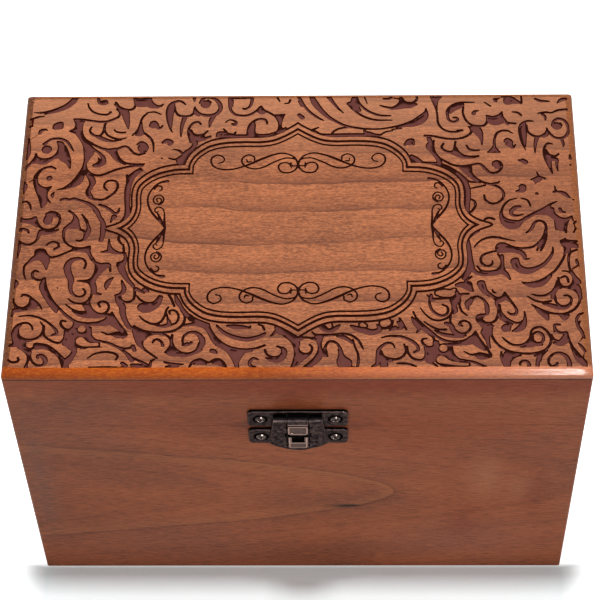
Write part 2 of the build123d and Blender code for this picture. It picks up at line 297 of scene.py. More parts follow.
front_shades = colour(174, 94, 56), colour(121, 56, 31), colour(95, 50, 36)  # pale, deep, stain
top_shades = colour(172, 102, 64), colour(104, 56, 35), colour(92, 52, 36)
front_board, tree, wood, shader = board_finish(
    "front_board", (-14, 54), 0.095, 2.68, 2.5, 0.42, 0.55, front_shades, sheen=0.04, shine=0.07
)
back_board = board_finish(
    "back_board", (30, 20), 0.07, 3.2, 6.0, 0.55, 0.3, front_shades, sheen=0.06, shift=230, shine=0.12
)[0]
left_board = board_finish("left_board", (-40, 40), 0.06, 3.0, 5.0, 0.55, 0.3, front_shades, True, 0.06, 410, 0.12)[0]
right_board = board_finish("right_board", (60, 60), 0.05, 2.8, 5.0, 0.55, 0.3, front_shades, True, 0.06, 620, 0.12)[0]
floor_board = board_finish("floor_board", (10, -70), 0.03, 2.6, 5.0, 0.5, 0.4, top_shades, sheen=0.1)[0]
top_board, top_tree, top_wood, top_shader = board_finish(
    "top_board", (-60, -120), 0.02, 7.5, 8.0, 0.25, 0.45, top_shades, sheen=0.08, shine=0.2
)
print("boards:", [board.name for board in (front_board, back_board, left_board, right_board, floor_board, top_board)])

# %% [markdown]
# The front board has marks: one ring that was darker than the rest and makes
# the long arch, a dark line to its right, a short mineral streak, a few warm or
# pale patches, and painted shade on the wood between the latch's two plates. A
# mark is a soft spot, an ellipse that may lean.

# %% Marks on the front
spot_group, spot_in, spot_out = new_group(
    "soft spot",
    [
        ("Place", "Vector", None),
        ("Middle", "Vector", (0, 0, 0)),
        ("Lean", "Float", 0.0),
        ("Reach", "Vector", (1, 1000, 1)),
    ],
    [("Mask", "Float", None)],
)
t = spot_group
place_and_middle = {0: spot_in.outputs["Place"], 1: spot_in.outputs["Middle"]}
moved = add(t, "ShaderNodeVectorMath", place_and_middle, operation="SUBTRACT")
leaning = add(t, "ShaderNodeVectorRotate", {0: moved.outputs[0]}, rotation_type="Y_AXIS")
t.links.new(spot_in.outputs["Lean"], leaning.inputs["Angle"])
sized = add(t, "ShaderNodeVectorMath", {0: leaning.outputs[0], 1: spot_in.outputs["Reach"]}, operation="DIVIDE")
ragged = math_node(t, "MULTIPLY_ADD", noise(t, scaled(t, spot_in.outputs["Place"], (0.15, 1.2, 1.2)), 3.0), 0.9, -0.45)
distance = add(t, "ShaderNodeVectorMath", {0: sized.outputs[0]}, operation="LENGTH").outputs["Value"]
fading = ramp(t, math_node(t, "ADD", distance, ragged), (0.15, 1.0), (1.0, 0.0))
t.links.new(fading, spot_out.inputs["Mask"])


def speckled(tree, place, colour_so_far, pale, deep, strength, grain=(0.7, 3.0, 3.0)):
    """Breaks up a wood colour with short pale and dark specks along the grain."""
    speck = ramp(tree, noise(tree, scaled(tree, place, grain), 3.0, 0.8), (0.3, 0.0), (0.7, 1.0))
    pale_share = ramp(tree, speck, (0.45, 0.0), (1.0, 1.0))
    deep_share = ramp(tree, speck, (0.0, 1.0), (0.55, 0.0))
    lighter = mixed(tree, math_node(tree, "MULTIPLY", pale_share, strength), colour_so_far, pale)
    return mixed(tree, math_node(tree, "MULTIPLY", deep_share, strength), lighter, deep)


def soft_spot(tree, place, colour_so_far, middle, lean, reach, tint, strength):
    """Mixes a tint into a colour inside one spot. middle and reach are (X, Z) in millimetres, lean is in degrees."""
    sizes = {"Middle": (middle[0], 0, middle[1]), "Lean": math.radians(lean), "Reach": (reach[0], 10000, reach[1])}
    node = add(tree, "ShaderNodeGroup", {0: place, **sizes}, node_tree=spot_group)
    return mixed(tree, math_node(tree, "MULTIPLY", node.outputs[0], strength), colour_so_far, tint)


place = next(n for n in tree.nodes if n.bl_idname == "ShaderNodeMapping").outputs[0]
spot = add(tree, "ShaderNodeSeparateXYZ", {0: place})
arch_tip, arch_height, arch_opening = 31.0, 54.0, 0.122
rise = math_node(tree, "SUBTRACT", spot.outputs["Z"], arch_height)
arch = math_node(tree, "MULTIPLY_ADD", math_node(tree, "MULTIPLY", rise, rise), arch_opening, spot.outputs["X"])
squared_rise = math_node(tree, "MULTIPLY", rise, rise)
steepness = math_node(tree, "SQRT", math_node(tree, "MULTIPLY_ADD", squared_rise, 4 * arch_opening**2, 1.0))
wavering = math_node(tree, "MULTIPLY_ADD", noise(tree, scaled(tree, place, (0.04, 0.04, 0.04)), 3.0), 3.0, -1.5)
off_arch = math_node(tree, "DIVIDE", math_node(tree, "SUBTRACT", arch, arch_tip), steepness)
beside_arch = math_node(tree, "MULTIPLY_ADD", math_node(tree, "ADD", off_arch, wavering), 0.05, 0.5)  # 0.5 on the arch
arch_line = ramp(tree, beside_arch, (0.46, 0.0), (0.49, 0.9), (0.515, 0.9), (0.55, 0.35), (0.8, 0.0))
inside_arch = ramp(tree, beside_arch, (0.1, 0.0), (0.4, 0.35), (0.465, 0.4), (0.48, 0.0))
front_colour = mixed(tree, inside_arch, wood.outputs["Color"], colour(176, 108, 66))
front_colour = mixed(tree, math_node(tree, "MULTIPLY", arch_line, 0.55), front_colour, colour(80, 40, 28))
dark_mark, warm_mark = colour(40, 24, 20), colour(118, 40, 16)
pale_mark, orange_mark = colour(192, 124, 88), colour(146, 62, 22)
black_mark = colour(16, 8, 6)
marks = (
    ((59, 87.8), -5.4, (34, 0.55), dark_mark, 0.5),
    ((13.5, 44.1), 1, (7, 1.9), black_mark, 1.0),
    ((-1, 112), 0, (5.5, 5), warm_mark, 0.75),
    ((16, 109.2), -6, (4.5, 0.5), dark_mark, 0.7),
    ((54, 32), 0, (9, 20), warm_mark, 0.65),
    ((60, 65), 0, (9, 19), pale_mark, 0.65),
    ((72, 57), 0, (6, 13), pale_mark, 0.5),
    ((76, 52), 0, (7, 22), warm_mark, 0.45),
    ((34, 84), 0, (22, 10), orange_mark, 0.4),
    ((-45, 117), -1, (26, 0.6), dark_mark, 0.45),
    ((-28, 101), -3, (12, 0.8), dark_mark, 0.35),
    ((72, 97), -2, (16, 0.6), dark_mark, 0.35),
    ((78, 45.5), 3, (5, 0.3), dark_mark, 0.5),
    ((-45, 60), 2, (22, 8), front_shades[2], 0.35),
    ((-84, 60), 0, (7, 50), colour(110, 78, 68), 0.55),
    ((-20, 12), 2, (60, 10), front_shades[2], 0.3),
    ((37, 54.6), 0, (6, 0.7), dark_mark, 0.5),
    ((20, 121), 0, (140, 10), colour(128, 44, 12), 0.9),
    ((10, 98), 0, (80, 17), orange_mark, 0.6),
    ((-22, 104), 0, (26, 18), front_shades[2], 0.3),
    ((-50, 66), 0, (44, 17), front_shades[2], 0.3),
    ((60, 75), 0, (34, 40), orange_mark, 0.3),
    ((-45, 18), 0, (55, 26), colour(108, 69, 63), 0.45),
    ((-70, 100), 0, (34, 26), colour(112, 74, 66), 0.3),
    ((55, 18), 0, (40, 22), colour(178, 108, 88), 0.4),
)
for mark in marks:
    front_colour = soft_spot(tree, place, front_colour, *mark)
for pale, deep, strength, grain in (
    (colour(172, 94, 54), colour(84, 40, 22), 0.7, (0.2, 2.0, 2.0)),
    (colour(186, 104, 60), colour(56, 24, 14), 0.25, (0.5, 3.6, 3.6)),
):
    front_colour = speckled(tree, place, front_colour, pale, deep, strength, grain)
marks_over_the_specks = (
    # painted shade on the wood between the latch's two plates
    ((0, 96.8), 0, (24, 4.5), black_mark, 0.9),  # the wood between the latch's two plates
    ((16.3, 44.3), 1, (4.4, 0.9), colour(12, 8, 8), 0.95),  # the mineral streak
    ((20, 121), 0, (140, 10), colour(140, 50, 0), 0.4),  # warm wood under the lid's edge
    ((10, 99), 0, (90, 15), colour(134, 44, 0), 0.15),
)
for mark in marks_over_the_specks:
    front_colour = soft_spot(tree, place, front_colour, *mark)
tree.links.new(front_colour, shader.inputs["Base Color"])
print("marks on the front:", len(marks + marks_over_the_specks))

# %% [markdown]
# The top board is cut along the growth rings, so each ring shows as a long
# wavy line. The wood darkens slowly towards a line and starts pale after it.
# The top is painted paler towards its back edge, as painted light, and it is darker towards its right end.

# %% Lines on the top
tree = top_tree
place = next(n for n in tree.nodes if n.bl_idname == "ShaderNodeMapping").outputs[0]
line_spacing, sway = 11.5, 16.0
spot = add(tree, "ShaderNodeSeparateXYZ", {0: place})
swaying = math_node(tree, "SUBTRACT", noise(tree, scaled(tree, place, (0.016, 0.03, 0.03)), 3.0, 0.45), 0.5)
swayed = math_node(tree, "MULTIPLY_ADD", swaying, sway, spot.outputs["Y"])
line_place = math_node(tree, "FRACT", math_node(tree, "DIVIDE", math_node(tree, "ADD", swayed, 500.0), line_spacing))
line = ramp(tree, line_place, (0.0, 0.0), (0.03, 1.0), (0.09, 0.6), (0.35, 0.25), (0.7, 0.0))
line_strength = ramp(tree, noise(tree, scaled(tree, place, (0.02, 0.06, 0.06)), 2.0), (0.3, 0.3), (0.6, 0.9))
top_colour = top_wood.outputs["Color"]
for pale, strength, grain in (
    (colour(198, 122, 80), 0.5, (0.14, 1.5, 1.5)),
    (colour(216, 134, 88), 0.62, (0.7, 2.6, 2.6)),
):
    top_colour = speckled(tree, place, top_colour, pale, colour(88, 48, 34), strength, grain)
top_colour = mixed(tree, math_node(tree, "MULTIPLY", line, line_strength), top_colour, colour(88, 46, 32))
# 0.5 is the middle of the top, and 1 is 50 mm behind it or 100 mm to its right
painted_light_to_back = ramp(tree, math_node(tree, "MULTIPLY_ADD", spot.outputs["Y"], 0.01, 0.5), (0.72, 0.0), (0.98, 0.32))
to_the_side = ramp(tree, math_node(tree, "MULTIPLY_ADD", spot.outputs["X"], 0.005, 0.5), (0.7, 0.0), (0.95, 0.3))
# painted light: paler towards the back edge
top_colour = mixed(tree, painted_light_to_back, top_colour, colour(208, 144, 106))
top_colour = mixed(tree, to_the_side, top_colour, colour(118, 70, 47))
tree.links.new(top_colour, top_shader.inputs["Base Color"])
print("top board", len(top_tree.nodes), "nodes")

# %% Which board is which
board_of = {
    "case_front": front_board,
    "lid_front": front_board,
    "case_back": back_board,
    "lid_back": back_board,
    "case_left": left_board,
    "lid_left": left_board,
    "case_right": right_board,
    "lid_right": right_board,
    "case_floor": floor_board,
    "lid_top": top_board,
}


def give_finish(node_name, material):
    """One material all over a solid of the frame."""
    nodes[node_name].data.materials.clear()
    nodes[node_name].data.materials.append(material)


for node_name, material in board_of.items():
    give_finish(node_name, material)
print("boards finished:", len(board_of))

# %% [markdown]
# ## Antique bronze
#
# The fittings are stamped sheet with a black chemical patina. It wears off
# where fingers and cloths rub, so the edges show warm bright metal. Upward
# faces, rings round the screw heads and the hollows under the hasp's pad are
# painted near black, as painted shade. Finding an edge is a job that every
# fitting shares, so it is a node group: it compares the surface's own direction
# with the same direction after a slight rounding, which differ only near an edge.

# %% The edge group
edge_group, edge_in, edge_out = new_group(
    "rubbed edges",
    [("Place", "Vector", None), ("Reach", "Float", 0.0003), ("Unevenness", "Float", 0.5)],
    [("Rubbed", "Float", None), ("Rounded", "Vector", None)],
)
t = edge_group
rounded = add(t, "ShaderNodeBevel", {"Radius": edge_in.outputs["Reach"]}, samples=4)
facing = add(t, "ShaderNodeNewGeometry")
two_directions = {0: rounded.outputs[0], 1: facing.outputs["Normal"]}
agreement = add(t, "ShaderNodeVectorMath", two_directions, operation="DOT_PRODUCT")
near_edge = ramp(t, agreement.outputs["Value"], (0.0, 1.0), (0.85, 1.0), (0.985, 0.0), (1.0, 0.0))
patchy = ramp(t, noise(t, scaled(t, edge_in.outputs["Place"], (0.8, 0.8, 0.8)), 3.0), (0.3, 0.0), (0.6, 1.0))
kept = math_node(t, "SUBTRACT", 1.0, math_node(t, "MULTIPLY", edge_in.outputs["Unevenness"], patchy))
t.links.new(math_node(t, "MULTIPLY", near_edge, kept), edge_out.inputs["Rubbed"])
t.links.new(rounded.outputs[0], edge_out.inputs["Rounded"])
print("edge group", len(t.nodes), "nodes")

# %% [markdown]
# Two places on the latch are rubbed bright by the thumb: the rim of the pad
# that is pressed, and the rim of the lip below it. Both are rounded
# rectangles, so another group measures how far a point lies outside one.

# %% The pad group
pad_group, pad_in, pad_out = new_group(
    "rounded rectangle",
    [
        ("Place", "Vector", None),
        ("Middle Z", "Float", 0.0),
        ("Half X", "Float", 1.0),
        ("Half Z", "Float", 1.0),
        ("Corner", "Float", 0.5),
    ],
    [("Distance", "Float", None)],
)
t = pad_group
spot = add(t, "ShaderNodeSeparateXYZ", {0: pad_in.outputs["Place"]})
sides = []
for offset, half in (
    (spot.outputs["X"], pad_in.outputs["Half X"]),
    (math_node(t, "SUBTRACT", spot.outputs["Z"], pad_in.outputs["Middle Z"]), pad_in.outputs["Half Z"]),
):
    straight = math_node(t, "SUBTRACT", half, pad_in.outputs["Corner"])
    sides.append(math_node(t, "SUBTRACT", math_node(t, "ABSOLUTE", offset), straight))
positive = {k: math_node(t, "MAXIMUM", side, 0.0) for k, side in enumerate(sides)}
corner = add(t, "ShaderNodeCombineXYZ", positive)
length = add(t, "ShaderNodeVectorMath", {0: corner.outputs[0]}, operation="LENGTH").outputs["Value"]
inner = math_node(t, "MINIMUM", math_node(t, "MAXIMUM", sides[0], sides[1]), 0.0)
whole = math_node(t, "SUBTRACT", math_node(t, "ADD", length, inner), pad_in.outputs["Corner"])
t.links.new(whole, pad_out.inputs["Distance"])


def rounded_rectangle(tree, place, middle, half_x, half_z, corner, *stops):
    """A mask from the distance to a rounded rectangle, as (distance in millimetres, height) stops."""
    sizes = {"Middle Z": middle, "Half X": half_x, "Half Z": half_z, "Corner": corner}
    node = add(tree, "ShaderNodeGroup", {0: place, **sizes}, node_tree=pad_group)
    centred = math_node(tree, "MULTIPLY_ADD", node.outputs[0], 0.125, 0.5)
    return ramp(tree, centred, *((0.5 + distance / 8, height) for distance, height in stops))


print("pad group", len(pad_group.nodes), "nodes")


# %% Bronze
def bronze_finish(
    name, dark, bright, roughness=0.45, reach=0.00025, unevenness=0.5, upward_shade=0.97,
    screw_rings=(), rubbed_rims=(), bright_bars=(), recesses=(), soot_and_shade=None,
):  # fmt: skip
    """A patinated metal, bright at its edges, with painted shade in near black.

    screw_rings are the (X, Z) of screws that sit in it, in millimetres, each with a ring of painted shade round it.
    rubbed_rims, bright_bars and recesses are rounded rectangles: (middle Z, half X, half Z, corner); the recesses are
    painted near black as shade. Painted shade also lies on upward faces, or where the mesh's attribute named by soot
    says so.
    """
    material, tree, shader = new_material(name, Metallic=1.0, Specular_Tint=(0.45, 0.45, 0.45, 1))
    texture_place = add(tree, "ShaderNodeTexCoord")
    place = scaled(tree, texture_place.outputs["Object"], TO_MM)
    edges = add(tree, "ShaderNodeGroup", {0: place, "Reach": reach, "Unevenness": unevenness}, node_tree=edge_group)
    clouds = noise(tree, scaled(tree, place, (0.8, 0.8, 0.8)), 4.0, 0.7)
    tarnish = ramp(tree, clouds, (0.42, 0.0), (0.7, 0.26))
    # painted shade: upward faces go near black, or the faces that the mesh's attribute marks
    if soot_and_shade:
        painted_shade = add(tree, "ShaderNodeAttribute", attribute_name=soot_and_shade).outputs["Fac"]
    else:
        upward = add(tree, "ShaderNodeSeparateXYZ", {0: texture_place.outputs["Normal"]}).outputs["Z"]
        painted_shade = ramp(tree, upward, (0.55, 0.0), (0.8, upward_shade))
    spot = add(tree, "ShaderNodeSeparateXYZ", {0: place})
    side = math_node(tree, "ABSOLUTE", spot.outputs["X"])
    # painted shade: a dark ring round each screw head
    for ring_x, ring_z in screw_rings:
        step_x = math_node(tree, "SUBTRACT", side, ring_x)
        step_z = math_node(tree, "SUBTRACT", spot.outputs["Z"], ring_z)
        offset = add(tree, "ShaderNodeCombineXYZ", {0: step_x, 2: step_z})
        reach_of_ring = add(tree, "ShaderNodeVectorMath", {0: offset.outputs[0]}, operation="LENGTH").outputs["Value"]
        ring_mask = ramp(tree, math_node(tree, "MULTIPLY", reach_of_ring, 0.25), (0.0, 1.0), (0.56, 0.95), (0.64, 0.0))
        painted_shade = math_node(tree, "MAXIMUM", painted_shade, ring_mask)
    rubbed = edges.outputs["Rubbed"]
    for rim in rubbed_rims:
        stops = (-1.0, 0.2), (-0.52, 0.2), (-0.4, 1.0), (-0.12, 1.0), (0.0, 0.0)
        rubbed = math_node(tree, "MAXIMUM", rubbed, rounded_rectangle(tree, place, *rim, *stops))
    for bar in bright_bars:
        rubbed = math_node(tree, "MAXIMUM", rubbed, rounded_rectangle(tree, place, *bar, (-0.1, 1.0), (0.1, 0.0)))
    # painted shade: each recess goes near black
    for recess in recesses:
        painted_shade = math_node(tree, "MAXIMUM", painted_shade, rounded_rectangle(tree, place, *recess, (-0.25, 1.0), (0.05, 0.0)))
    patina = mixed(tree, tarnish, dark, bright)
    worn = mixed(tree, rubbed, patina, bright)
    # the near black of the painted shade
    black = tuple(0.15 * v for v in dark[:3]) + (1,)
    tree.links.new(mixed(tree, painted_shade, worn, black), shader.inputs["Base Color"])
    gloss = math_node(tree, "MULTIPLY_ADD", rubbed, 0.2 - roughness, roughness)
    tree.links.new(gloss, shader.inputs["Roughness"])
    pits = noise(tree, scaled(tree, place, (2.5, 2.5, 2.5)), 3.0)
    pitting = {"Strength": 0.35, "Distance": 0.0001, "Height": pits, "Normal": edges.outputs["Rounded"]}
    tree.links.new(add(tree, "ShaderNodeBump", pitting).outputs[0], shader.inputs["Normal"])
    return material


gunmetal, rubbed_copper = colour(26, 22, 24), colour(132, 108, 99)
latch_screw_x, lid_screw_z, case_screw_z = 11.6, 102.15, 91.5  # one on each side of the middle
latch_screws_at = ((latch_screw_x, lid_screw_z), (latch_screw_x, case_screw_z))
bronze = bronze_finish("antique_bronze", gunmetal, rubbed_copper, screw_rings=latch_screws_at)
thumb_pad = (99.0, 3.1, 2.45, 0.7)
fold_over_pad = (102.5, 3.0, 0.14, 0.1)
latch_bronze = bronze_finish(
    "latch_bronze",
    gunmetal,
    rubbed_copper,
    unevenness=0.45,
    screw_rings=latch_screws_at,
    rubbed_rims=[thumb_pad],
    bright_bars=[fold_over_pad],
)
lip_rim, lip_edge = (91.9, 2.9, 3.2, 0.9), (90.3, 2.9, 1.7, 0.8)
# painted shade: under the hasp's pad and between the prongs of its lip
upper_shade, lower_shade = (95.3, 4.2, 1.3, 0.3), (93.6, 2.0, 1.6, 0.3)
hasp_bronze = bronze_finish(
    "hasp_bronze",
    gunmetal,
    rubbed_copper,
    reach=0.0003,
    unevenness=0.25,
    rubbed_rims=[lip_rim, lip_edge],
    recesses=[upper_shade, lower_shade],
)
hinge_bronze = bronze_finish("hinge_bronze", colour(88, 66, 45), colour(180, 144, 100), upward_shade=0.85)
# the screws' painted shade comes from their mesh attribute
screw_bronze = bronze_finish("screw_bronze", colour(42, 36, 36), colour(184, 162, 150), roughness=0.24, soot_and_shade="shade_paint")
metal_of = {"hasp": hasp_bronze, "latch_plate": latch_bronze, "catch_plate": bronze, "latch_pin": bronze}
metal_nodes = [name for name in nodes if name not in board_of]
for node_name in metal_nodes:
    give_finish(node_name, metal_of.get(node_name, screw_bronze if "screws" in node_name else hinge_bronze))
print("metal finished:", len(metal_nodes))

# %% [markdown]
# ## Screws with a cross recess
#
# One screw is lathed as a mesh: a domed head with a cross-shaped recess, and a
# plain shank. A Geometry Nodes tree then sets copies of it on a list of points,
# turned each by its own angle, because no one lines up their screws.

# %% One screw
def screw_mesh(name, head, dome, length):
    """A screw along Z, its head's seat at Z = 0, in metres. The arguments are in millimetres."""
    arm, reach, bottom = 0.17 * head, 0.5 * head, 0.3 * dome  # of the cross: half an arm's width, its length, its floor
    slope = 0.45  # the floor of the cross is this much of its opening
    cross = []
    for quarter in range(4):
        c, s = math.cos(math.pi / 2 * quarter), math.sin(math.pi / 2 * quarter)
        for x, y in ((reach, -arm), (reach, arm), (arm, arm)):
            cross.append((c * x - s * y, s * x + c * y))
    floor_of_cross = [(slope * x, slope * y) for x, y in cross]

    def circle(radius, count=28):
        angles = [2 * math.pi * k / count for k in range(count)]
        return [(radius * math.cos(angle), radius * math.sin(angle)) for angle in angles]

    def dome_height(radius):
        if radius > 0.85 * head:
            return 0.15 * dome
        return dome * (0.15 + 0.85 * math.sqrt(max(0.0, 1 - (radius / (head * 0.86)) ** 2.2)))

    outlines = [circle(head * part) for part in (1.0, 0.98, 0.855, 0.82, 0.72)] + [cross, floor_of_cross]
    # painted shade: the head's outer rim and the floor of its cross are marked for near black, the cross's outline in
    # part
    shade_of_outline = (1.0, 1.0, 1.0, 0.0, 0.0, 0.4, 1.0)
    points, edges, levels = [], [], []
    for number, outline_points in enumerate(outlines):
        base, count = len(points), len(outline_points)
        points += [Vector(p) for p in outline_points]
        edges += [(base + k, base + (k + 1) % count) for k in range(count)]
        levels += [number] * count
    flat_points, _, faces, sources, _, _ = delaunay_2d_cdt(points, edges, [], 0, 1e-7, True)
    vertices, shade_paint = [], []
    for p, source in zip(flat_points, sources):
        z = dome_height(p.length) if levels[source[0]] < 6 else bottom
        vertices.append((p.x, p.y, 0.0 if levels[source[0]] == 0 else z))
        shade_paint.append(shade_of_outline[levels[source[0]]])
    output_of = {s: k for k, source in enumerate(sources) for s in source}
    rim_count = len(outlines[0])
    last = [output_of[k] for k in range(rim_count)]
    body_faces = []
    for face in faces:
        a, b, c = (flat_points[k] for k in face[:3])
        body_faces.append(tuple(face) if (b - a).cross(c - a) > 0 else tuple(reversed(face)))
    shank = ((head * 0.5, -0.3), (head * 0.42, -length * 0.8), (head * 0.1, -length))
    for radius, depth in shank:
        base = len(vertices)
        vertices += [(x, y, depth) for x, y in circle(radius, rim_count)]
        for k in range(rim_count):
            following_k = (k + 1) % rim_count
            body_faces.append((base + k, base + following_k, last[following_k], last[k]))
        last = list(range(base, base + rim_count))
    body_faces.append(tuple(reversed(last)))
    mesh = bpy.data.meshes.new(name)
    mesh.from_pydata([(x * MM, y * MM, z * MM) for x, y, z in vertices], [], body_faces)
    shade_paint += [1.0] * (len(vertices) - len(shade_paint))
    mesh.attributes.new("shade_paint", "FLOAT", "POINT").data.foreach_set("value", shade_paint)
    mesh.set_sharp_from_angle(angle=math.radians(40))
    return mesh


hinge_screw_dome = 0.4
latch_screw = screw_mesh("latch_screw", head=1.9, dome=0.8, length=7.0)
hinge_screw = screw_mesh("hinge_screw", head=1.4, dome=hinge_screw_dome, length=6.0)
print("faces of a screw", len(latch_screw.polygons))

# %% Setting the screws
setting = bpy.data.node_groups.new("set screws", "GeometryNodeTree")
for socket_name, kind in (("Spots", "Geometry"), ("Screw", "Object"), ("Tilt", "Rotation"), ("Finish", "Material")):
    setting.interface.new_socket(socket_name, in_out="INPUT", socket_type="NodeSocket" + kind)
setting.interface.new_socket("Screws", in_out="OUTPUT", socket_type="NodeSocketGeometry")
start = setting.nodes.new("NodeGroupInput")
end = setting.nodes.new("NodeGroupOutput")
screw_info = add(setting, "GeometryNodeObjectInfo", {"Object": start.outputs["Screw"]})
least, most, seed = 2, 3, 8  # numbers of the node's sockets
turn = add(setting, "FunctionNodeRandomValue", {least: 0.0, most: 1.5, seed: 4}, data_type="FLOAT")
own_turn = add(setting, "FunctionNodeAxisAngleToRotation", {"Angle": turn.outputs[1]})
tilt_then_turn = {0: start.outputs["Tilt"], 1: own_turn.outputs[0]}
both_turns = add(setting, "FunctionNodeRotateRotation", tilt_then_turn, rotation_space="LOCAL")
copies = add(
    setting,
    "GeometryNodeInstanceOnPoints",
    {"Points": start.outputs["Spots"], "Instance": screw_info.outputs["Geometry"], "Rotation": both_turns.outputs[0]},
)
joined = add(setting, "GeometryNodeRealizeInstances", {0: copies.outputs[0]})
painted = add(setting, "GeometryNodeSetMaterial", {"Geometry": joined.outputs[0], "Material": start.outputs["Finish"]})
setting.links.new(painted.outputs[0], end.inputs[0])


def set_screws(name, screw, spots, tilt, body, replaced):
    """One piece with a screw on every spot, in millimetres, on one body of the box."""
    pattern = new_object(name + "_pattern", screw)
    marks = bpy.data.meshes.new(name + "_spots")
    marks.from_pydata([tuple(v * MM for v in spot) for spot in spots], [], [])
    holder = new_object(name + "_spots", marks)
    modifier = holder.modifiers.new("set screws", "NODES")
    modifier.node_group = setting
    identifiers = {item.name: item.identifier for item in setting.interface.items_tree if item.in_out == "INPUT"}
    modifier[identifiers["Screw"]] = pattern
    modifier[identifiers["Tilt"]] = tilt
    modifier[identifiers["Finish"]] = screw_bronze
    evaluated = holder.evaluated_get(bpy.context.evaluated_depsgraph_get())
    mesh = bpy.data.meshes.new_from_object(evaluated)
    bpy.data.objects.remove(holder)
    bpy.data.objects.remove(pattern)
    piece = new_object(name, mesh)
    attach(piece, body)
    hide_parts(replaced)
    print(name, len(mesh.polygons), "faces")


facing_front = (math.radians(90), 0, 0)
case_leaf_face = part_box("case_hinge_screws")[1][2] / MM - hinge_screw_dome  # the seat lies a dome below the top
lid_leaf_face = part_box("lid_hinge_screws")[0][2] / MM + hinge_screw_dome
plate_front = -55.0  # the outer face of the latch's two plates
for body, replaced, level in (("lid", "latch_plate_screws", lid_screw_z), ("case", "catch_plate_screws", case_screw_z)):
    spots = [(side * latch_screw_x, plate_front, level) for side in (-1, 1)]
    set_screws(body + "_latch_screws", latch_screw, spots, facing_front, body, replaced)

hinge_x, hinge_screw_step, hinge_screw_y = 52.0, 7.0, 49.1
hinge_screw_spots = [(x + side * hinge_screw_step, hinge_screw_y) for x in (-hinge_x, hinge_x) for side in (-1, 1)]
for body, replaced, tilt, face in (
    ("case", "case_hinge_screws", (0, 0, 0), case_leaf_face),
    ("lid", "lid_hinge_screws", (math.pi, 0, 0), lid_leaf_face),
):
    spots = [(x, y, face) for x, y in hinge_screw_spots]
    set_screws(body + "_leaf_screws", hinge_screw, spots, tilt, body, replaced)

# %% [markdown]
# ## The carving
#
# The whole top is engraved: the ground is cut away by 0.45 mm and the
# scrollwork stays at the board's own surface. The drawing is kept as a field
# over the top: a height map whose value is positive on wood, negative on the
# cut ground, and is everywhere about the distance in millimetres to the nearest
# cut edge. A stroke is a smooth curve through a few points, each with its own
# width, because a carver's gouge swells and tapers.

# %% The field
grid_step = 0.15  # millimetres
half_length, half_depth, top_height = (round(v / MM, 3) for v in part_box("lid_top")[1])
underside = round(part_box("lid_top")[0][2] / MM, 3)
field_x = np.arange(-half_length - 0.1, half_length + 0.1, grid_step)
field_y = np.arange(-half_depth - 0.15, half_depth + 0.15, grid_step)
field = np.full((len(field_y), len(field_x)), 9.0)


def squared_up(x, y):
    """The paper that the drawing was made on had stretched. This lays a point of it on the board."""
    shrink = 1 + 0.000039 * y
    return (0.9948 * x - 0.0002 * y + 0.341) / shrink, (0.0004 * x + 0.9911 * y - 0.296) / shrink


def smooth_curve(points, steps=6, on_paper=True):
    """A Catmull-Rom curve through points of (x, y, width)."""
    knots = np.array(points, float)
    if on_paper:
        knots[:, 0], knots[:, 1] = squared_up(knots[:, 0], knots[:, 1])
    if len(knots) < 3:
        return knots
    knots = np.vstack([2 * knots[0] - knots[1], knots, 2 * knots[-1] - knots[-2]])
    t = np.linspace(0, 1, steps, endpoint=False)[:, None]
    runs = []
    for a, b, c, d in zip(knots, knots[1:], knots[2:], knots[3:]):
        runs.append(0.5 * (2 * b + (c - a) * t + (2 * a - 5 * b + 4 * c - d) * t**2 + (3 * b - a - 3 * c + d) * t**3))
    curve = np.vstack(runs + [knots[-2:-1]])
    curve[:, 2] = np.maximum(curve[:, 2], 0.1)
    return curve


def grid_window(low, high):
    """The part of the field between two corners, and the x and y of its grid points."""
    rows, columns = (
        slice(max(0, int((low[k] - start) / grid_step)), int((high[k] - start) / grid_step) + 2)
        for k, start in ((1, field_y[0]), (0, field_x[0]))
    )
    return (rows, columns), *np.meshgrid(field_x[columns], field_y[rows])


def stroke_depth(points):
    """How far inside a stroke each grid point near it is, with the window of the field that it covers."""
    curve = smooth_curve(points)
    margin = curve[:, 2].max() / 2 + 1.5
    window, gx, gy = grid_window(curve.min(0) - margin, curve.max(0) + margin)
    depth = np.full(gx.shape, -99.0)
    for start, end in zip(curve, curve[1:] if len(curve) > 1 else curve):
        run = end[:2] - start[:2]
        along = np.clip(((gx - start[0]) * run[0] + (gy - start[1]) * run[1]) / max(run @ run, 1e-9), 0, 1)
        half_width = (start[2] + (end[2] - start[2]) * along) / 2
        depth = np.maximum(depth, half_width - np.hypot(gx - start[0] - along * run[0], gy - start[1] - along * run[1]))
    return depth, window


def triples(numbers):
    """A flat list of numbers, three by three."""
    return [numbers[k : k + 3] for k in range(0, len(numbers), 3)]


LEFT = FRONT = -1
RIGHT = BACK = 1
towards = RIGHT, BACK  # the sides that x and y count to, from the middle of the board


def stroke_points(numbers):
    """The points of a stroke on the board, from x, y and width of each in turn."""
    return [(towards[0] * x, towards[1] * y, width) for x, y, width in triples(numbers)]


def cut(*numbers):
    """Cuts one stroke: x, y and width of each of its points, in millimetres."""
    depth, window = stroke_depth(stroke_points(numbers))
    field[window] = np.minimum(field[window], -depth)


def ridge(*numbers, gap=0.5):
    """Leaves a stroke of wood standing, with a gap cut beside it."""
    depth, window = stroke_depth(stroke_points(numbers))
    field[window] = np.maximum(np.minimum(field[window], -depth - gap), depth)


print("field of", field.shape, "points for a top of", 2 * half_length, "by", 2 * half_depth, "mm")

# %% [markdown]
# ## The strokes of the scrollwork
#
# Each call below cuts one stroke, or leaves one standing. They follow the
# scrolls from the front left corner along the front, then along the back from
# its left corner, and end with the middles of the two ends. Each corner is
# measured as with a ruler laid from the middle of the board outwards.

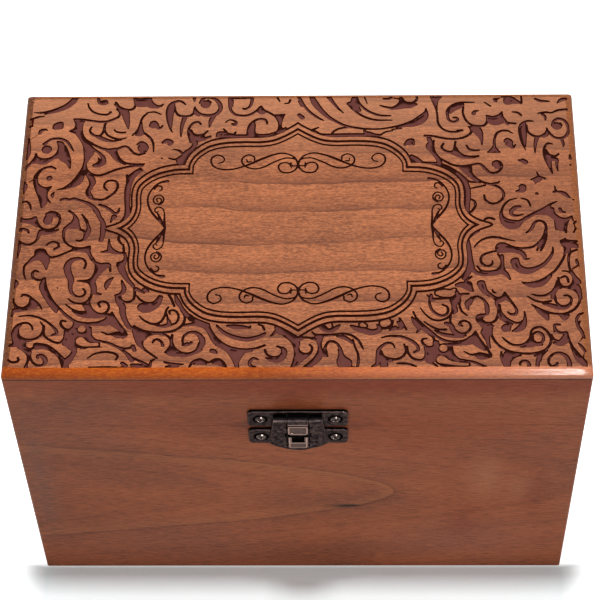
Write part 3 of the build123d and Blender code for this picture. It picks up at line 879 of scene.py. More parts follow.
# %% The front left corner
towards = LEFT, FRONT
cut(87.8,5.2,1.2,87.9,8,1.8,88,11,.6)
cut(88,4.6,.7,86,6,.9,84.2,6,.8,82.6,4.8,.7,81.7,2.6,.7,81.6,.5,.5)
cut(82.2,9.9,.7,82.1,8.4,.8,81,7.9,.7,79.6,8.2,.8,78.9,9.4,.8,78.1,10.6,.8,76.9,11,.8,75.2,10.5,.7,73,9.4,.7,
    71,8.3,.7,70.7,7.6,.6)
cut(79,6.3,.5,78,5.3,.6,76.6,5,.6,75.4,5.7,.7,75.2,7,.8,76.3,7.9,1)
cut(84.5,13.2,.7,82.6,11.4,1.8,80.3,10.6,3,79,12,2.8,78.6,13.6,1.6,78.4,15.5,.5)
cut(83.8,12.4,.6,85.2,14,.7,85.4,16,.6,85,18,.5,84.5,19.2,.35)
cut(80.8,16.4,.6,81.8,16,.7,82.6,16.9,.8,82.4,18.4,.8,81.2,19.4,.8,79.7,19.5,.7,78.7,18.7,.6)
cut(79,19.4,.9,79.3,22,1.7,78.3,24.7,1.5,76.4,27.8,1.6,74.6,30.2,1.8,74.1,31.5,.7)
cut(78.5,19,.6,78,22,.7,76.6,25.3,.7,74.9,28.2,.7,73,30.4,.8,70.9,32.8,1,68,34.9,.9,64.5,35.6,.8,61,35.2,.8,
    58.3,33.8,.8,57,31.6,.6)
cut(75,21.2,.2,74.3,22.8,.25)
cut(73.6,23.3,.25,73.1,24.8,.2)
cut(66.5,15.1,.8,66.2,13.3,.7,67.2,11.7,.8,69.5,11.6,1.4,71.3,12.8,2,71.9,15,2.3,71.2,17.5,2.2,70.4,19.6,2,
    70.5,22,1.4,69.8,24.4,1,68,25.7,.7,66.2,25.4,.7,65.7,24,.7,66.5,22.8,.5)
cut(74,3,.7,73.4,4.8,.7,72,6.4,.7,70,7.3,.7,67.7,7.5,.8,65.5,6.9,.8)
cut(71.6,8.5,.5,69,8.2,1,66.3,8.4,1.6,64.9,10.4,.9,63.6,12.3,.7,63,14.5,.7,63.2,17,.7,64,18.8,.7,65.6,19.8,.7,
    68.3,19.9,.5)
cut(74,2,.6,74.1,1,.5)
cut(67.3,2,.6,67.4,3.7,.7,68.5,4.7,.7,69.7,4.5,.6)
cut(65.3,7,.7,65.4,9.3,.7,64.8,11.2,.8,63.5,12.8,.9,61.5,13.6,.9,59,13.6,.9,58.4,16.3,.7)
cut(59.5,4.2,.5,59.3,6.5,1.1,58.6,8.4,2,56.6,9.3,1.2,54.8,9.5,.8)
cut(61.7,9,.5,59.8,8.8,1.3)
cut(56.4,2.6,.6,56.5,4.2,.8,55.5,6,.6)
cut(54.9,6.2,.6,54.6,8.8,.8)
cut(56.4,14.4,.5,56.3,13.2,.7,55,12.9,.7)
cut(54.2,9.6,.9,54,12,1.2,55.1,14.5,2.4,54.3,16.9,2,52.9,19.5,1.5,51,21.8,1.2)
cut(59.5,14.4,1.2,61,15,2.4,62.2,17.2,1.7,63.5,19.9,1.5,63.2,22.4,1.9,62.6,24.5,1.2,60.8,24.9,.6)
cut(68,19.9,.5,65.3,20.4,.7,64,21.8,.8,63.6,24,.8,63.9,26,.8,64.3,27,.8)
cut(54.7,19.8,.6,54.1,21.6,1.1,53.8,23.5,1.6,54.7,24.8,1.2,56.3,25.4,.8)
cut(57.3,18.6,.4,58.6,20,1.5,59.2,21.4,1.7,59.4,23.1,.4)
cut(54.9,25.2,.7,54.6,26.7,.8,53.6,27.7,.8,52,27.8,.8,50.7,26.9,.8,50.4,25,.8,50.6,22.8,.8,51.3,21.3,.6)
cut(55.9,25.9,1.2,55,28,1.9,53.9,29.7,2.1,53.7,32,1.9,52.8,34.6,1.6,51.6,36.8,1.5,50.2,37.6,1)
cut(64.3,26.3,.7,64.2,28.5,.8,63,30.9,.9,61,32.2,.9,59.2,31.9,.8,58.1,30.2,.7,58.5,28.4,.7,60,27.6,.8,61.4,28.3,.8,
    60.8,29.6,.6)
cut(70.8,26.6,.4,69.3,27.8,.6,67.3,28.4,.7,65.4,28,.8,64.4,27,.8)
cut(71.4,28.7,.4,69.3,30.4,.6,67,31.4,.7,65,31.4,.7)
cut(66,28.9,.7,64.8,29.6,2,63.6,31.6,1.8,61.5,32.9,1.2,58.6,32.6,.8)
cut(69.3,31,.4,66.5,32.6,1.3,63,33,1.7,60,33,1,58,32.2,.6)
cut(57,31.6,.6,55.8,34,.7,54,36.7,.8,52.6,38.8,.8,52.2,40,.8,53.2,40.9,.8)
cut(66.5,36.2,1.2,62,36,1,59,35.4,2.4,57.2,34.4,3.2,55.6,36.2,2.2,53.4,38.7,.9)
cut(59.8,38.8,.4,58,39.6,.6,56.5,39.5,.8,55,39,.7,53.4,39.4,.7,52.4,40.1,.8)
cut(56.6,39.8,.6,54.8,40.3,1.5,53,40.4,1.2)
cut(63.2,37.2,.7,63,39.8,.8,61.6,41.6,.8,59,42.3,.8,56.5,43.2,.9,54.5,44.3,.9,52.5,44.8,.8,50,44.3,.7)
cut(71,34.9,.6,72.2,34.6,.7,72.5,35.7,.8,71.9,36.9,.8,70.7,37.8,.8,69.3,37.8,.8,68.3,36.2,.8,68.6,34.7,.7,
    69.6,33.5,.6)
cut(85.5,33,.4,82.3,32.7,.6,79.5,33.4,.7,77,34.8,.7,74.8,36.8,.8,73.5,38.5,1,73.8,39.5,1,74.8,39.9,.8)
cut(77.4,36.6,.6,77.5,38,.7,77.2,40,.7,75.5,41.6,.7,73,42.7,.8,71.4,42,.9,70.8,40,.9,70.9,38.5,.9)
cut(80.9,37.8,.5,81.4,36.4,.6,82.8,35.4,.7,84.8,35.7,.8,86.3,37,.8,86.9,39,.8,86.7,41,.8,86.5,42.6,.7,87.7,43.8,.6)
cut(85.4,37.3,.6,85,39.8,.7,83.4,41.2,.8,81,41.5,.8,78.8,40.5,.8,77.7,38.5,.8,77.8,36.5,.6,78.8,35,.4)
cut(84.8,36.2,.9,86,37.8,1.4,86,40,1.4,85.5,41.7,2.2,84.9,43.3,1.6,86.5,43.8,.7)
cut(84.5,41.8,1.8,82.8,42,.8)
cut(87.6,19.6,.6,87.2,20.8,1.3,87.6,22.3,.6)
cut(85.3,25.6,.6,84.8,25,.8,83.3,25.3,.7,82,26.4,.7,80.5,27.7,.7,79.4,29,.6,78.6,30.5,.35)
cut(82.5,26.5,.6,82.7,28.4,.7,84.2,29.8,.7,85.8,29.7,.8,87.2,28.5,.7,87.8,26.5,.6)
cut(81.9,27.2,1,80.9,29,2,82.6,30,.9,84.5,30.6,.9,86.3,30.7,1.6,87.4,31,1.4,87.7,33,.5)
cut(83.2,45.3,.5,81.9,46.7,.7,81.4,48.6,.8,81.8,50.4,.8,81.9,51.6,1.4)
cut(87.5,48.7,.6,86.5,49.5,.8,85,49.5,.8,84.3,48.8,.8,84.6,48,.7)
cut(83,43.2,.7,82.6,44.2,.8,81.3,44.9,.8,80.1,44.3,.8,79.8,43,.7,78,43,.6,76,43.6,.7,74.2,44.9,.8,72.3,46.7,.8,
    71.1,48,.8,70.4,48.7,.8,69.2,47.6,.8,67.3,45.5,.7)
cut(82.8,43.6,.6,82.6,42.3,.6,81.2,41.9,.6)
cut(84.4,44.2,1.2,82.3,45.6,1,81.2,46.4,1.2)
cut(79.2,44.3,1.6,77.2,44.3,1.1,75.2,45.1,.8)
cut(78.6,48,.9,78.7,47.3,.8,77.5,47.2,1.2,76.4,48.4,1.6,76.2,49.6,1.3,76.9,50.6,.9,78.5,50.7,.8,80,49.6,.7,
    80.9,47.6,.7,81,45.7,.9)
cut(75,45.3,.7,72.9,46.8,.8,71.5,49,.8,70.8,51.6,.8)
cut(70.4,48.9,.9,70,50.2,1.7,70,51.7,2.2)
cut(70.9,40,1,69.6,40,2.6,68.9,42.3,2.6,69.3,43.9,1.6,67.7,45.5,1.6,68.4,47.6,1.8,69.3,49.6,1.8)
cut(71,43.2,1,69,44,1.2,67.4,44.9,1.2)
cut(68.6,37.9,2.2,66,39.6,1.7,63.8,39.8,1.4,62.3,41.7,1.3,60,42.1,.8,57.8,42.6,.6)
cut(67.8,36.2,2,65,36.3,1.6,63.7,38,1.6)
cut(67.9,42.4,.8,66.9,43.8,.8,65,44.6,.8,63.5,44.2,.6,61.5,44.2,.6,59.5,44.2,.3)
ridge(65.9,37.7,2.5)
ridge(66,42.1,2.9,64.7,43,2,63,43.3,1.2,61,43.3,1.2)
cut(63.5,48.2,.4,61.5,46.7,.6,58.5,46,.7,55.8,46.4,.7,54.4,47.5,.7,54.9,48.8,.6)
cut(63,51.4,.3,58,51.3,.5,54.3,51.4,.3)
cut(52.9,50,1.2,51.8,51,1.4)
cut(54.6,44.4,.6,52.3,46,.9,50.9,47.6,1.4,50,49,1.4)
print("front left corner cut")

# %% The front, left of the middle
cut(50,18,.6,51,19,.6)
cut(49.8,25.4,.5,48.7,26.9,.7,47,28,.7,45,28.2,.8,43.6,27.2,.8,42.8,25.6,.7)
cut(42.2,26,1.2,42.9,28.2,1.6,44.5,29.9,2,46.2,31,1.6,47.8,31,1.2,48.9,29.9,1,48,28.9,1.4,46.4,29.6,.8,46.2,30.2,.6)
cut(47.4,23.2,1.6,46.4,23.9,1)
cut(50,23,1.4,47.6,24.4,.8)
cut(48.5,33,.4,47.5,34.2,.6,45.6,35.5,.7,43.5,36,.8,41.8,35,.8,40.8,33,.7,40.4,31,.7,39.8,29.8,.6)
cut(43.3,36.4,.6,41,36.7,1.2,39.4,36,1.6,39.8,34,.7,40.2,32.4,.6)
cut(39.2,32.3,.6,39.4,31.3,.7,38.2,30.9,.8,37,31.8,.7,36.5,33.6,.7,37.2,35.5,.7,39,36.4,.7)
cut(50,36.6,.7,48,38,.8,45,38.9,.8,41.5,39.1,.8,38,38.5,.8,35.8,37,.8,34.7,35,.8,34.7,33,.7,35.8,31,.6)
cut(39.8,25.3,.8,38.9,27,.8,38,29.4,.7)
cut(37.8,25.4,.7,37.1,27.5,1.6,36,29.6,1.4,34.4,32,1.4,32.4,34,1.8,30,35,1.2,27.4,36.2,1.2)
cut(33.6,33,.4,32.8,34.4,.6,31.5,34.6,.4)
ridge(33.2,33.2,.8,32.6,34,1,31.7,34.5,.4)
cut(50,38.2,1.2,49,41,1.6,48,43.2,1.5,46.5,45,.8,44.6,46.6,.7,42.5,48.3,.6)
cut(47.6,40,2.4,46.7,41,1.6)
cut(46.9,44.6,.6,47.2,42.4,.7,46,40.4,.8,44,39.5,.8,41.5,39.6,.9,39.5,40.4,.8,38.5,42,.8,38.6,44,.8,40,46.2,.8)
cut(44,42.7,.6,43.6,41.8,.8,42.6,41.5,.8,41.4,42.4,.8,40.9,43.8,1)
cut(39.6,46.4,.6,38,46.6,2,36,47,1.4,33.5,47.2,1.2,31,46.2,1.2,29.5,45.2,1.4)
cut(38.2,40,.8,38.2,42.5,.8,37.2,44.8,.8,35,46.4,.8,32.6,46.5,.8,30.6,45.3,.8,29.9,43,.7)
cut(33.6,42.9,.9,34.6,43.4,.7,35,41.8,.7,34.5,40.2,.8,32.8,39,.9,30.6,39.4,1.3,29.2,41.2,1.8,29,43.2,1.8,30,45,1.2)
cut(34.8,43.6,.8,33.2,43.4,1,32.3,42.7,.9)
cut(35,36.4,.8,33,36.1,1,30.5,36,1.8,28.3,37,1.6,27,38.8,1.4,26,41,1.4,25.3,42.9,.7)
cut(27.3,36,.7,26.6,38,.7,25.3,40.3,.7,23.3,42.6,.8,21,44.2,.9,18.5,45,.9,15.5,45.3,.9,12.5,44.8,.8,10,43.8,.8)
cut(24.7,36.6,.7,23.6,38,1,21.6,39.7,1.3,19,40.9,1.5,16,41.6,1.6,13.2,41.2,1.5,11,40.2,1.2,10,39.4,.8)
cut(21.5,36.7,.8,19.5,37,1.6,17,37.2,1.5,14.9,37.4,.8,14.5,36.9,.6)
cut(12,36.3,.5,10.8,36.8,.7,10.2,38.2,.7)
cut(26,45.6,1.4,25.3,45.9,1.6,24.6,46.5,.8)
cut(24.5,43.4,1.2,21.5,45.5,1,20,47.6,1,19,49.6,1,18.2,51.6,1.2)
cut(22,45.2,.8,19,46.2,1.6,17,46.2,1.8,17.6,48,1.4,18.3,50,1.2,18.2,51.6,1.4)
cut(16,45.9,1.4,14,45.7,.8)
cut(12,48.8,.6,13.4,48.4,1,14.4,49.5,1,14.3,51,1,12.8,51.6,.8)
cut(32.6,51.4,.7,31.6,49.6,.8,29.6,48.7,.8,28,49.3,.7,26.7,49.8,.6,25.4,49,.7,24,48.7,.8,22.4,49.8,.8,21.6,51.4,.7)
cut(31.4,50.4,.5,29.6,49.8,1.8,27.8,50.3,1)
cut(25.4,50,1,24,49.8,1.6,22.6,51,1)
cut(40.3,49.6,.5,38.6,50.2,1,36.6,50.6,1.2,34.4,50.4,.4)
cut(39.6,51.3,.7,38,51.2,.9,36,51.2,.6)
cut(43.3,48.7,.6,44.2,49.4,.8,44.5,51.4,.9)
cut(50,48,.7,48.2,49,.8,46.4,50,.9,44.6,51,.8)
cut(50,50.6,1,48,51,1.6,45.6,51.4,.8)
cut(50,44,1.4,49.4,45.4,1.2)
print("front, left of the middle cut")

# %% The middle of the front
towards = RIGHT, FRONT
cut(-9.9,45.5,.8,-9.3,47,.7,-7.6,48,.8,-5.6,47.7,.8,-4.6,46.2,.8,-4.9,44.8,.8,-6.2,44.2,.7)
cut(-9.5,48.2,.5,-7.8,49,1.3,-5.7,49,1.8,-4.2,47.6,1.6,-3.8,45.8,1.2,-4.6,44.7,.8)
cut(-8.3,40.4,.5,-7.4,39.6,.8,-6.5,38.2,1,-6,37.2,.6)
cut(-4.4,38.9,.5,-3.2,40.3,.9,-1.8,41.7,.5)
cut(-6.4,37.4,1.6,-5.4,38.8,2.2,-5.2,39.6,1)
cut(-4.4,40.2,.6,-2.3,42,.7,-1.1,44,.8,-.7,46.5,.8,-1,49,.8,-1.8,51.6,.7)
cut(-1.6,41.9,1,-.2,42.8,1.8,-.2,45,1,-.3,48,.9,-1.2,51.2,.9)
cut(.3,41.6,1.6,2.5,41,.7,5,41.6,.8)
cut(3.6,43.6,.6,4.3,44.6,.7,4.1,46,.8,2.8,47,.8,1,46.4,.8,.1,44.8,.7,.2,43,.7)
cut(.2,46.8,1.4,1.6,47.6,1,3.2,47.3,.6)
cut(-.2,50.8,.9,1,49,1.2,2.4,48,.9,3.9,46.6,.6)
cut(4.6,41.2,.8,6,42.4,.9,6.5,44.4,.8,6,46.8,.8,4.6,49,.8,2,51.6,.8)
cut(6.6,42.5,.9,7.2,40.6,1.2,5.6,40.6,1.2)
cut(3.4,51.4,1.6,4.8,50.2,1.4,6,48.6,2,7,47.2,1.6,9,47.7,.7)
cut(6.6,44,.8,6.9,46,1.2)
cut(7.4,41,.6,6.9,43.5,.7,7.4,45.6,.7,8.8,47,.7)
cut(8.3,45.2,.5,8.5,44,.6,9.2,42.7,.8,10.6,42.4,.8,12,43.4,.8,12.9,45.2,1,13.3,47,1.2,14,48.3,1.4,15.3,49.8,2.2,
    14.6,51,3.2)
cut(8.8,46.3,.6,8.2,45,.9,8.7,43.5,.7)
cut(12.5,45.5,.8,12.7,47.4,.9,12.2,49.6,1,13,51.5,1.6)
cut(4.3,39,.5,5.4,40,.7,8,40.1,.8,11,40,.8,14,39.7,.8,16.5,40.4,.8,18.3,42,.8,19.3,44,.7,19.8,45.2,.4)
cut(12,40.6,.8,14,41,1.4,15.8,42.2,1.2,16.6,43,.8)
cut(16.7,41.8,.5,17.3,44.4,.6,18.2,47,.7,18.3,49.5,.8,18,51.6,.9)
cut(7.6,36.8,.5,8.6,38,.7,9.9,38.2,.7,10.6,37.2,.5)
cut(6.5,36.9,.8,8,38.4,1,10,38.6,1.2,11.5,37.6,1.4,12.6,36.6,.8)
ridge(9.3,36.4,1.8,9.6,37,1.4)
cut(16.2,36.8,.8,18,37.8,1.8,20.5,38.6,2.2,22.5,39.2,2.2,24.6,38.4,1.8,24.6,37,1.2)
ridge(19.6,36.5,1.6,20.4,36.8,1)
ridge(26.3,36,2.6,27,35.6,2.6)
cut(24,36.3,.5,24.8,37.4,.6,26,37.9,.7,27.6,37.6,.7,28.7,36.4,.7,28.9,35,.6)
cut(28,38.4,.8,29.6,37.6,1.6)
cut(25.4,41.2,.4,27.5,40.6,.7,30,40.6,.8,32,41,.9,34.3,42.2,1,36,43.8,1,36.4,45.6,.9,35.2,46.4,.8)
cut(29.3,44.6,.5,28.7,43.4,.6,27.3,43,.8,25.8,43.8,.9,24.4,45.6,1.2,24.2,48,1.4,24,50.4,1.3,22.4,51.5,.7)
cut(25.2,46,.7,25.8,47.6,.7,27.4,48.6,.8,29.6,48.9,.8,31.6,48,.8,32.7,46,.7,32.2,43.6,.6)
cut(24.8,47.4,1.2,25.8,49.2,2.2,26,51,2.6)
cut(27,49.4,1.2,28.4,49.4,.7)
print("middle of the front cut")

# %% The front, right of the middle
cut(39.6,25.6,.5,40.6,26.7,.6,42,27,.7,43.6,27,.7,45.6,26.8,.7,47.5,26.4,.7,48.4,25,.6,48.6,23.3,.5)
ridge(43,24.9,1.6,45,25,2.6,47,25,2.2,48,23.8,.9)
cut(49,22,1.6,50.5,21.8,2.2,52,22.4,2.6,53,23.8,1.4)
cut(48.7,24.6,1.2,49.2,26,1.6,48.4,27.6,2,47.8,29.6,1.6,48.2,31.4,1.4,47.6,32.4,.8)
cut(51,20.9,.5,53,21,.7,53.4,22.6,.7,53.7,24.2,.7)
cut(53.5,18.8,.7,51.6,20.4,.9)
cut(53.6,13.5,1.6,54,16,1.6,55.6,17.6,1.4,58,18,1.2,60.6,17.6,1.6,62.8,17,2,64.2,17.8,1.6,65.2,19.6,.7)
cut(52.7,4,1.2,52.9,7,1.6,53.2,10,1.6,53.4,13,1.6)
cut(52.8,14,1.4,52.6,17,1.8,51,19.6,1.2)
cut(54.8,7.6,.4,56,6,.6,57.8,4.6,.7,60,3.9,.8,62.5,4,.8,65,4.8,.6,67.6,5.4,.3)
cut(61.6,9.2,.7,59.8,9.6,.7,57.8,10.4,.8,56.6,12,.8,57,14,.8,58.6,14.9,.8,60,14.2,.7,60.2,13,.5)
cut(55.4,15,.6,56.6,16.6,.8,58.8,17,.9,61.4,16.4,.8,62.8,14.7,.8,63,12.6,.7,62,10.4,.6)
cut(61.6,9,.7,61.7,7.6,.8,62.6,6.5,.9,64.2,6.4,.9,66,7.3,.8,68,8,.8,70.4,8.2,.8,73,7.6,.8,75,6,.8,76.6,3.6,.8,
    77.3,1,.7)
cut(62.2,9.6,1,63,8.6,2.6,65,8.6,2.4,67,9,1.8,69,9.6,1.8,70.2,11,1.4,70.2,12.2,.8,71.6,12.2,.5)
cut(63.2,11,1.2,63.4,13,.9,63.4,15,.8,64,17.2,.8,65.3,19.8,.7)
cut(55.4,21.8,.8,55.8,20.8,1,57,20.7,.9,57.3,22,1,57.8,24,1,59.2,25.6,.9,61,26.8,.8,62.6,26.4,.8,63.4,25,.6)
cut(55.9,21.6,1.3,56.3,23,1.5,57.2,24.8,1,58.6,26,.7)
cut(59.6,23.6,.3,60,24.6,.7,60.8,24.9,.3)
cut(49.6,27.4,.8,49.4,29.4,.7,50,31.6,.7,51.6,33.2,.5)
cut(49,26.4,.9,50.3,25.4,.9,52.4,25.2,.6)
cut(54.3,26.6,.5,52.7,27.4,1,51.6,28.6,1.2,51.8,30,1.2,52,31.2,.4)
cut(53,27.4,1.6,52.4,29,1.4)
cut(53,26.6,.6,55,26.2,.7,56.6,27.2,.8,57.6,29,1.2,57.8,31,1.5,57.6,32.6,1,56.2,33,.8)
cut(57,33,.8,56,34.2,.7,56.6,35.5,.8,58.2,36,.8,60,35.2,.8,61,33,.8,61.2,30.5,.7,60.4,27.6,.6,59.4,26,.5)
cut(56,32.8,.7,54.8,33.4,.8,54.5,34.8,.8,55.3,35.9,.9,57,37.2,2.2,56.8,39,1.8,57.4,41,1.6,57.6,43.4,1.2,58,44.8,.8)
cut(58.4,37,1.6,59.2,37,.8)
cut(56.2,37.2,.8,56.4,38,.8,55.8,39.4,.8,56.6,41.2,.8,57.4,42.6,.8)
cut(61.2,30.6,.8,60.8,28.6,1.2,62,27.6,1.6,63.6,26.9,1.4,64.6,27.8,1)
cut(63.4,24.8,.7,64.6,27,.8,66,29.4,.8,66.8,31.4,.9,66.2,32.8,1,64.9,32.7,.8,64,32,.5)
cut(61.7,29.4,.7,61.8,31.6,.8,63,33.8,.9,65,35.4,.9,67,36,.8,68.6,35.2,.8,69.2,33.4,.7,69.1,31.8,.4)
cut(61.2,32.4,.9,61.8,34.2,1,62.8,35.2,.7,65,36.4,.9)
cut(58.9,37.6,.8,58.7,40,.8,59.8,42.8,.8,61.8,45,.8,64.5,46.4,.8,68,47,.8,71.5,46.9,.8,74.5,45.8,.8,76.2,43.8,.8,
    76.6,41.4,.8,75.6,39,.8)
cut(63.9,38.3,.9,62.8,38.8,.9,62.2,37.6,.9,63.2,36.7,.9,64.2,37.2,1.2,64.2,38.6,.8)
cut(65.2,38.9,.6,66.6,38.4,1.6,68,37.4,2.2,69,35.6,1.4,69.2,33.6,.8)
cut(62,41.2,.4,63.2,42.6,.7,65,43.8,.8,67.4,44,.9,69.2,43,.8,70.4,41.2,.7,70.8,39,.7,72,37.8,.8,74,37.6,.8,75.6,39,.8)
cut(71.2,41.6,.7,71.2,40.2,.6,72.4,39.3,.8,73.8,39.8,.9,74.4,41.4,.9,73.8,43,.9,72.2,43.2,.8,71,42,.7)
cut(69,43.8,.7,70.8,43.4,1.6,72.2,43.8,1.2,73.6,43.8,1)
cut(67.4,44.6,.6,70,44.3,1,71.4,44,1)
print("front, right of the middle cut")

# %% The ball and the crescent at the front
cut(40.4,26.6,.7,40.3,29,.8,41,31.2,.9,42.6,32.8,.9,44.6,33.2,.9,45.8,31.8,.8,45.6,30,.7,44.2,29.2,.6)
cut(40.8,25.6,1,40.9,27.4,1.2,42.4,27,.8)
cut(46.6,27.4,.5,47.2,29.6,.6,47,32,.7,45.6,34,.7,43,35,.7,40.6,34.4,.6,38.8,32.6,.5,37.4,30.4,.35)
cut(35.2,31.8,.6,36,33.8,.6,37.8,36.2,.7,40,38.6,.9,42.4,41,.9,45,42.4,.9,48,42.7,.8,51,42,.8,53,40.4,.7,53.9,39,.6)
cut(38.4,35.4,.4,40.4,37,.6,42.8,38.3,.8,45,38.3,.8)
cut(45,36,1.2,46.6,36.8,1.6,47.3,38.8,1.6,48.8,40.3,1.2,50.8,40.5,.8)
cut(41.6,38.6,.5,44,40,1.2,47,40.6,1.4,50,40.9,.9)
cut(46.6,33.2,.6,46.4,35.4,.7,47.2,37.8,.8,49,39.6,.9,51,39.6,.8,52.4,38,.8,52.3,36.2,.7,51,35.2,.7,49.7,35.4,.8,
    49.2,36.4,.9,50,37,.6)
cut(53.9,39,.6,55,41.6,.7,56.6,44.4,.8,57.9,46.6,.8,58.2,47.8,.8,57.2,48.4,.7)
cut(44.6,43.8,1.2,48.4,43.6,1,51.4,42.8,2.2,53.2,41.8,3,54.4,43.4,2.4,56.4,45.6,.9)
cut(50.2,46.2,.4,52,47.3,.6,53.6,47.2,.7,55,46.8,.7,56.8,47.3,.7,57.6,47.7,.7)
cut(53.6,47.6,.6,55,48.4,1.4,57,48.3,1.1)
cut(46.6,44.6,.7,46.8,46.8,.8,48.2,48.8,.9,50.6,49.4,.8,53,50,.9,55,51,.9,56.6,51.7,.7)
cut(31,34.2,.8,32,36.4,.9,33,38.2,.6)
cut(34.8,33.8,.8,35.6,36.2,1,36.8,38,1,36,39.4,.4)
cut(35.4,34.6,1.2,37.8,37.6,1.2,40,39.4,1.2)
cut(30.6,35.6,1.2,31.4,37.4,1.4,30.2,38,.8)
cut(39,41.5,.6,38,41.6,.7,37.6,42.6,.8,38.3,43.8,.8,39.6,44.6,.8,41,44.2,.8,41.4,42.6,.8,40.9,41,.7,39.6,39.8,.6)
cut(33,44.4,.7,33.4,46.8,.7,34.8,48.6,.8,37,49.3,.9,38.4,48.4,.9,38.8,46.4,.9,38.6,45,.9)
cut(38.4,44.6,.8,40.2,46,2.2,40.8,48.6,2.4,39,49.6,1,40.6,50.4,.9,42,51.4,.6)
cut(41.8,43,2,43,46.6,1.2,45.4,46.4,1.4,46.4,48,1.4,48.4,49.5,1)
cut(42,46.6,1.6,41.4,47.6,1.4)
ridge(44,45,2.5)
cut(42,49.4,.8,42.8,50.6,.8,44.6,51.4,.8,47,51.5,.6,50,51.5,.5)
ridge(43.2,49,2.8,45.4,50,1.6,48,50.6,1.2,51,50.8,1)
cut(30,50.4,.6,32,50.4,.8,34,50.8,.8,35.6,51.5,.6)
cut(61.4,46.4,.6,61.4,48.4,.9,62.2,50.6,1.2,62.8,51.7,1.2)
cut(62.6,46.8,1,62.6,48.4,1.8,63.2,49.4,1.2,64.6,47.6,1)
cut(63.4,51.6,1,64,49.6,.8,65.4,48.2,.7,67.2,47.6,.6)
cut(66.8,51,.6,66.9,50.2,.7,67.8,49.6,.8,69,49.8,.9,69.6,51,1,69.2,51.6,.8)
cut(71.5,47.8,.8,72.8,47.9,1.4,72.2,49.6,1.2,72,51.6,1.2)
cut(72.9,49.6,.7,73.6,47.6,.8,75.2,45.8,.7)
cut(75.4,50.2,.7,75.6,48.8,.8,77,47.2,.8,79,46.8,1,80.8,48,1.4,81.6,50,1.4,81.6,51.6,1.6)
cut(76.4,51.6,.7,77.6,51.2,.9,78,50.4,.8)
cut(75.4,50.4,.7,76,51.5,.8)
print("ball and crescent cut")

# %% The front right corner
cut(77.8,39.2,.5,77.8,37.4,.5,78.2,36.7,.9,79.6,36.6,.7)
cut(77.9,37.2,.8,78.2,38.4,.9,79.4,39.6,.9,81.4,39.4,.8)
cut(76.8,40.4,.7,77.6,42,.8,79,42.6,.9,80,41.6,.8,81,40.4,1.2,81.6,39.6,.7)
cut(77.6,43.2,1,79.4,43.6,1.6,80.8,42.4,2,82,42,.8)
cut(81.6,39.6,.7,82,42,.8,83,44.8,.8,84.4,47,.8,85.8,49,.8,86.8,50.2,.8)
cut(82.6,44.6,.6,84,48.6,1.2,86,50.6,2,86.6,51.4,2)
cut(87,32.4,.6,85.6,33.2,.9,84.8,35,.9,85.2,37.4,1.1,86,39,1.1,86.8,41.4,.7)
cut(85.4,36.6,.5,85.8,35.4,.5)
cut(84.8,43.4,.4,85.6,44.4,.9,86.6,46.2,.9)
cut(71.4,29.2,.4,73,30.4,.8,75.4,31.8,.8,78,32.6,.8,80.6,32.8,.8,83,32,.8,85,30.4,.8,86.2,28,.8,86,25.6,.7,
    84.6,23.8,.7,82.6,23.1,.7)
cut(72.4,30.2,.6,73.8,31.8,1.4,75,33.4,1.2,76,34.6,.9,76.2,32.8,.8)
cut(79.8,33.2,.5,81.2,34.6,1,82.4,33.2,.9)
cut(70.4,26.2,.4,71.6,27.2,.6,73,28,.7,75,28.4,.7,77.4,28,.8)
cut(75,29,.6,77.4,29.6,1.6,79.6,30.4,1.6,82,30.4,1,83.4,29.2,.8)
cut(78.8,26.2,.7,78.9,28,.8,80,29.6,.8,81.6,29.9,.8,83.2,29,.8,83.7,27.2,.8,82.8,26,.7,81.6,26,.6)
cut(71.6,25.4,.4,73.6,26,.7,76,25.8,.8,78,24.6,.9,79.2,22.6,.8,79.8,20.6,.7)
cut(78,26.8,1.2,78.4,25,1.4,79.6,23.4,1,80.8,23.2,.6)
cut(69,21,.5,71,21.4,.9,73.6,20.8,.8,76,19.6,.8,78.4,17.6,.8,79.6,16.4,.7,81.4,13.6,.8,82.6,11,.7,82.8,8,.7,
    81.8,5.6,.7,83,5,.7)
cut(69.6,21.4,.8,72,22,2,74.6,21.6,2,76.4,20.4,1.4,78,18.6,.8)
cut(80.2,19.4,.7,80.4,21.4,.8,81.6,22.8,.8,83.4,22.6,.8,84.6,21,.7,84.8,19,.7,83.6,17.2,.6,81.6,16.8,.5)
cut(81,19.4,.6,82.2,18.8,.8,83,19.6,.8,83.2,21,.7)
cut(83.8,23.4,1,85.6,22.6,2,86.4,24.6,1.4,86.8,27,.8)
cut(85.2,19.8,1,86,21,1.4)
cut(66.2,13.6,1,66.6,12.6,1.2,67.8,12.2,1,68,13.4,1.2,68.6,15,1.2,70.4,16.2,1.6,73,16,1.6,75.6,14.6,1.3,77.6,12.4,1.1,
    79,9.8,.8,79.2,7.8,.4)
cut(66.6,13.6,1.4,67.2,15.4,1.6,69,17,1.4,71.6,17.2,1.2,74,16,1)
cut(75.4,9,.7,76.4,7,.8,77.4,4,.7,77.6,1,.5)
cut(74.2,9,.6,75.6,6.4,1.2)
cut(84.2,17.6,.7,83.8,15,.7,83.8,12,.8,84.6,9.8,.8,86.6,8.8,.7)
cut(86.2,12.4,.5,86.4,13.6,1,86.8,15,.5)
cut(84.4,17,1,85.2,19,1.4,86.8,21,1.2)
cut(83,5,.7,84.6,5.4,.8,86.8,5.6,.8)
cut(82.2,6,.7,83.6,6.6,2.2,85.4,7,2.2,86.6,7.4,1.6)
cut(82.9,10,.9,83.9,8.6,1.6,84,7.4,1.6)
print("front right corner cut")

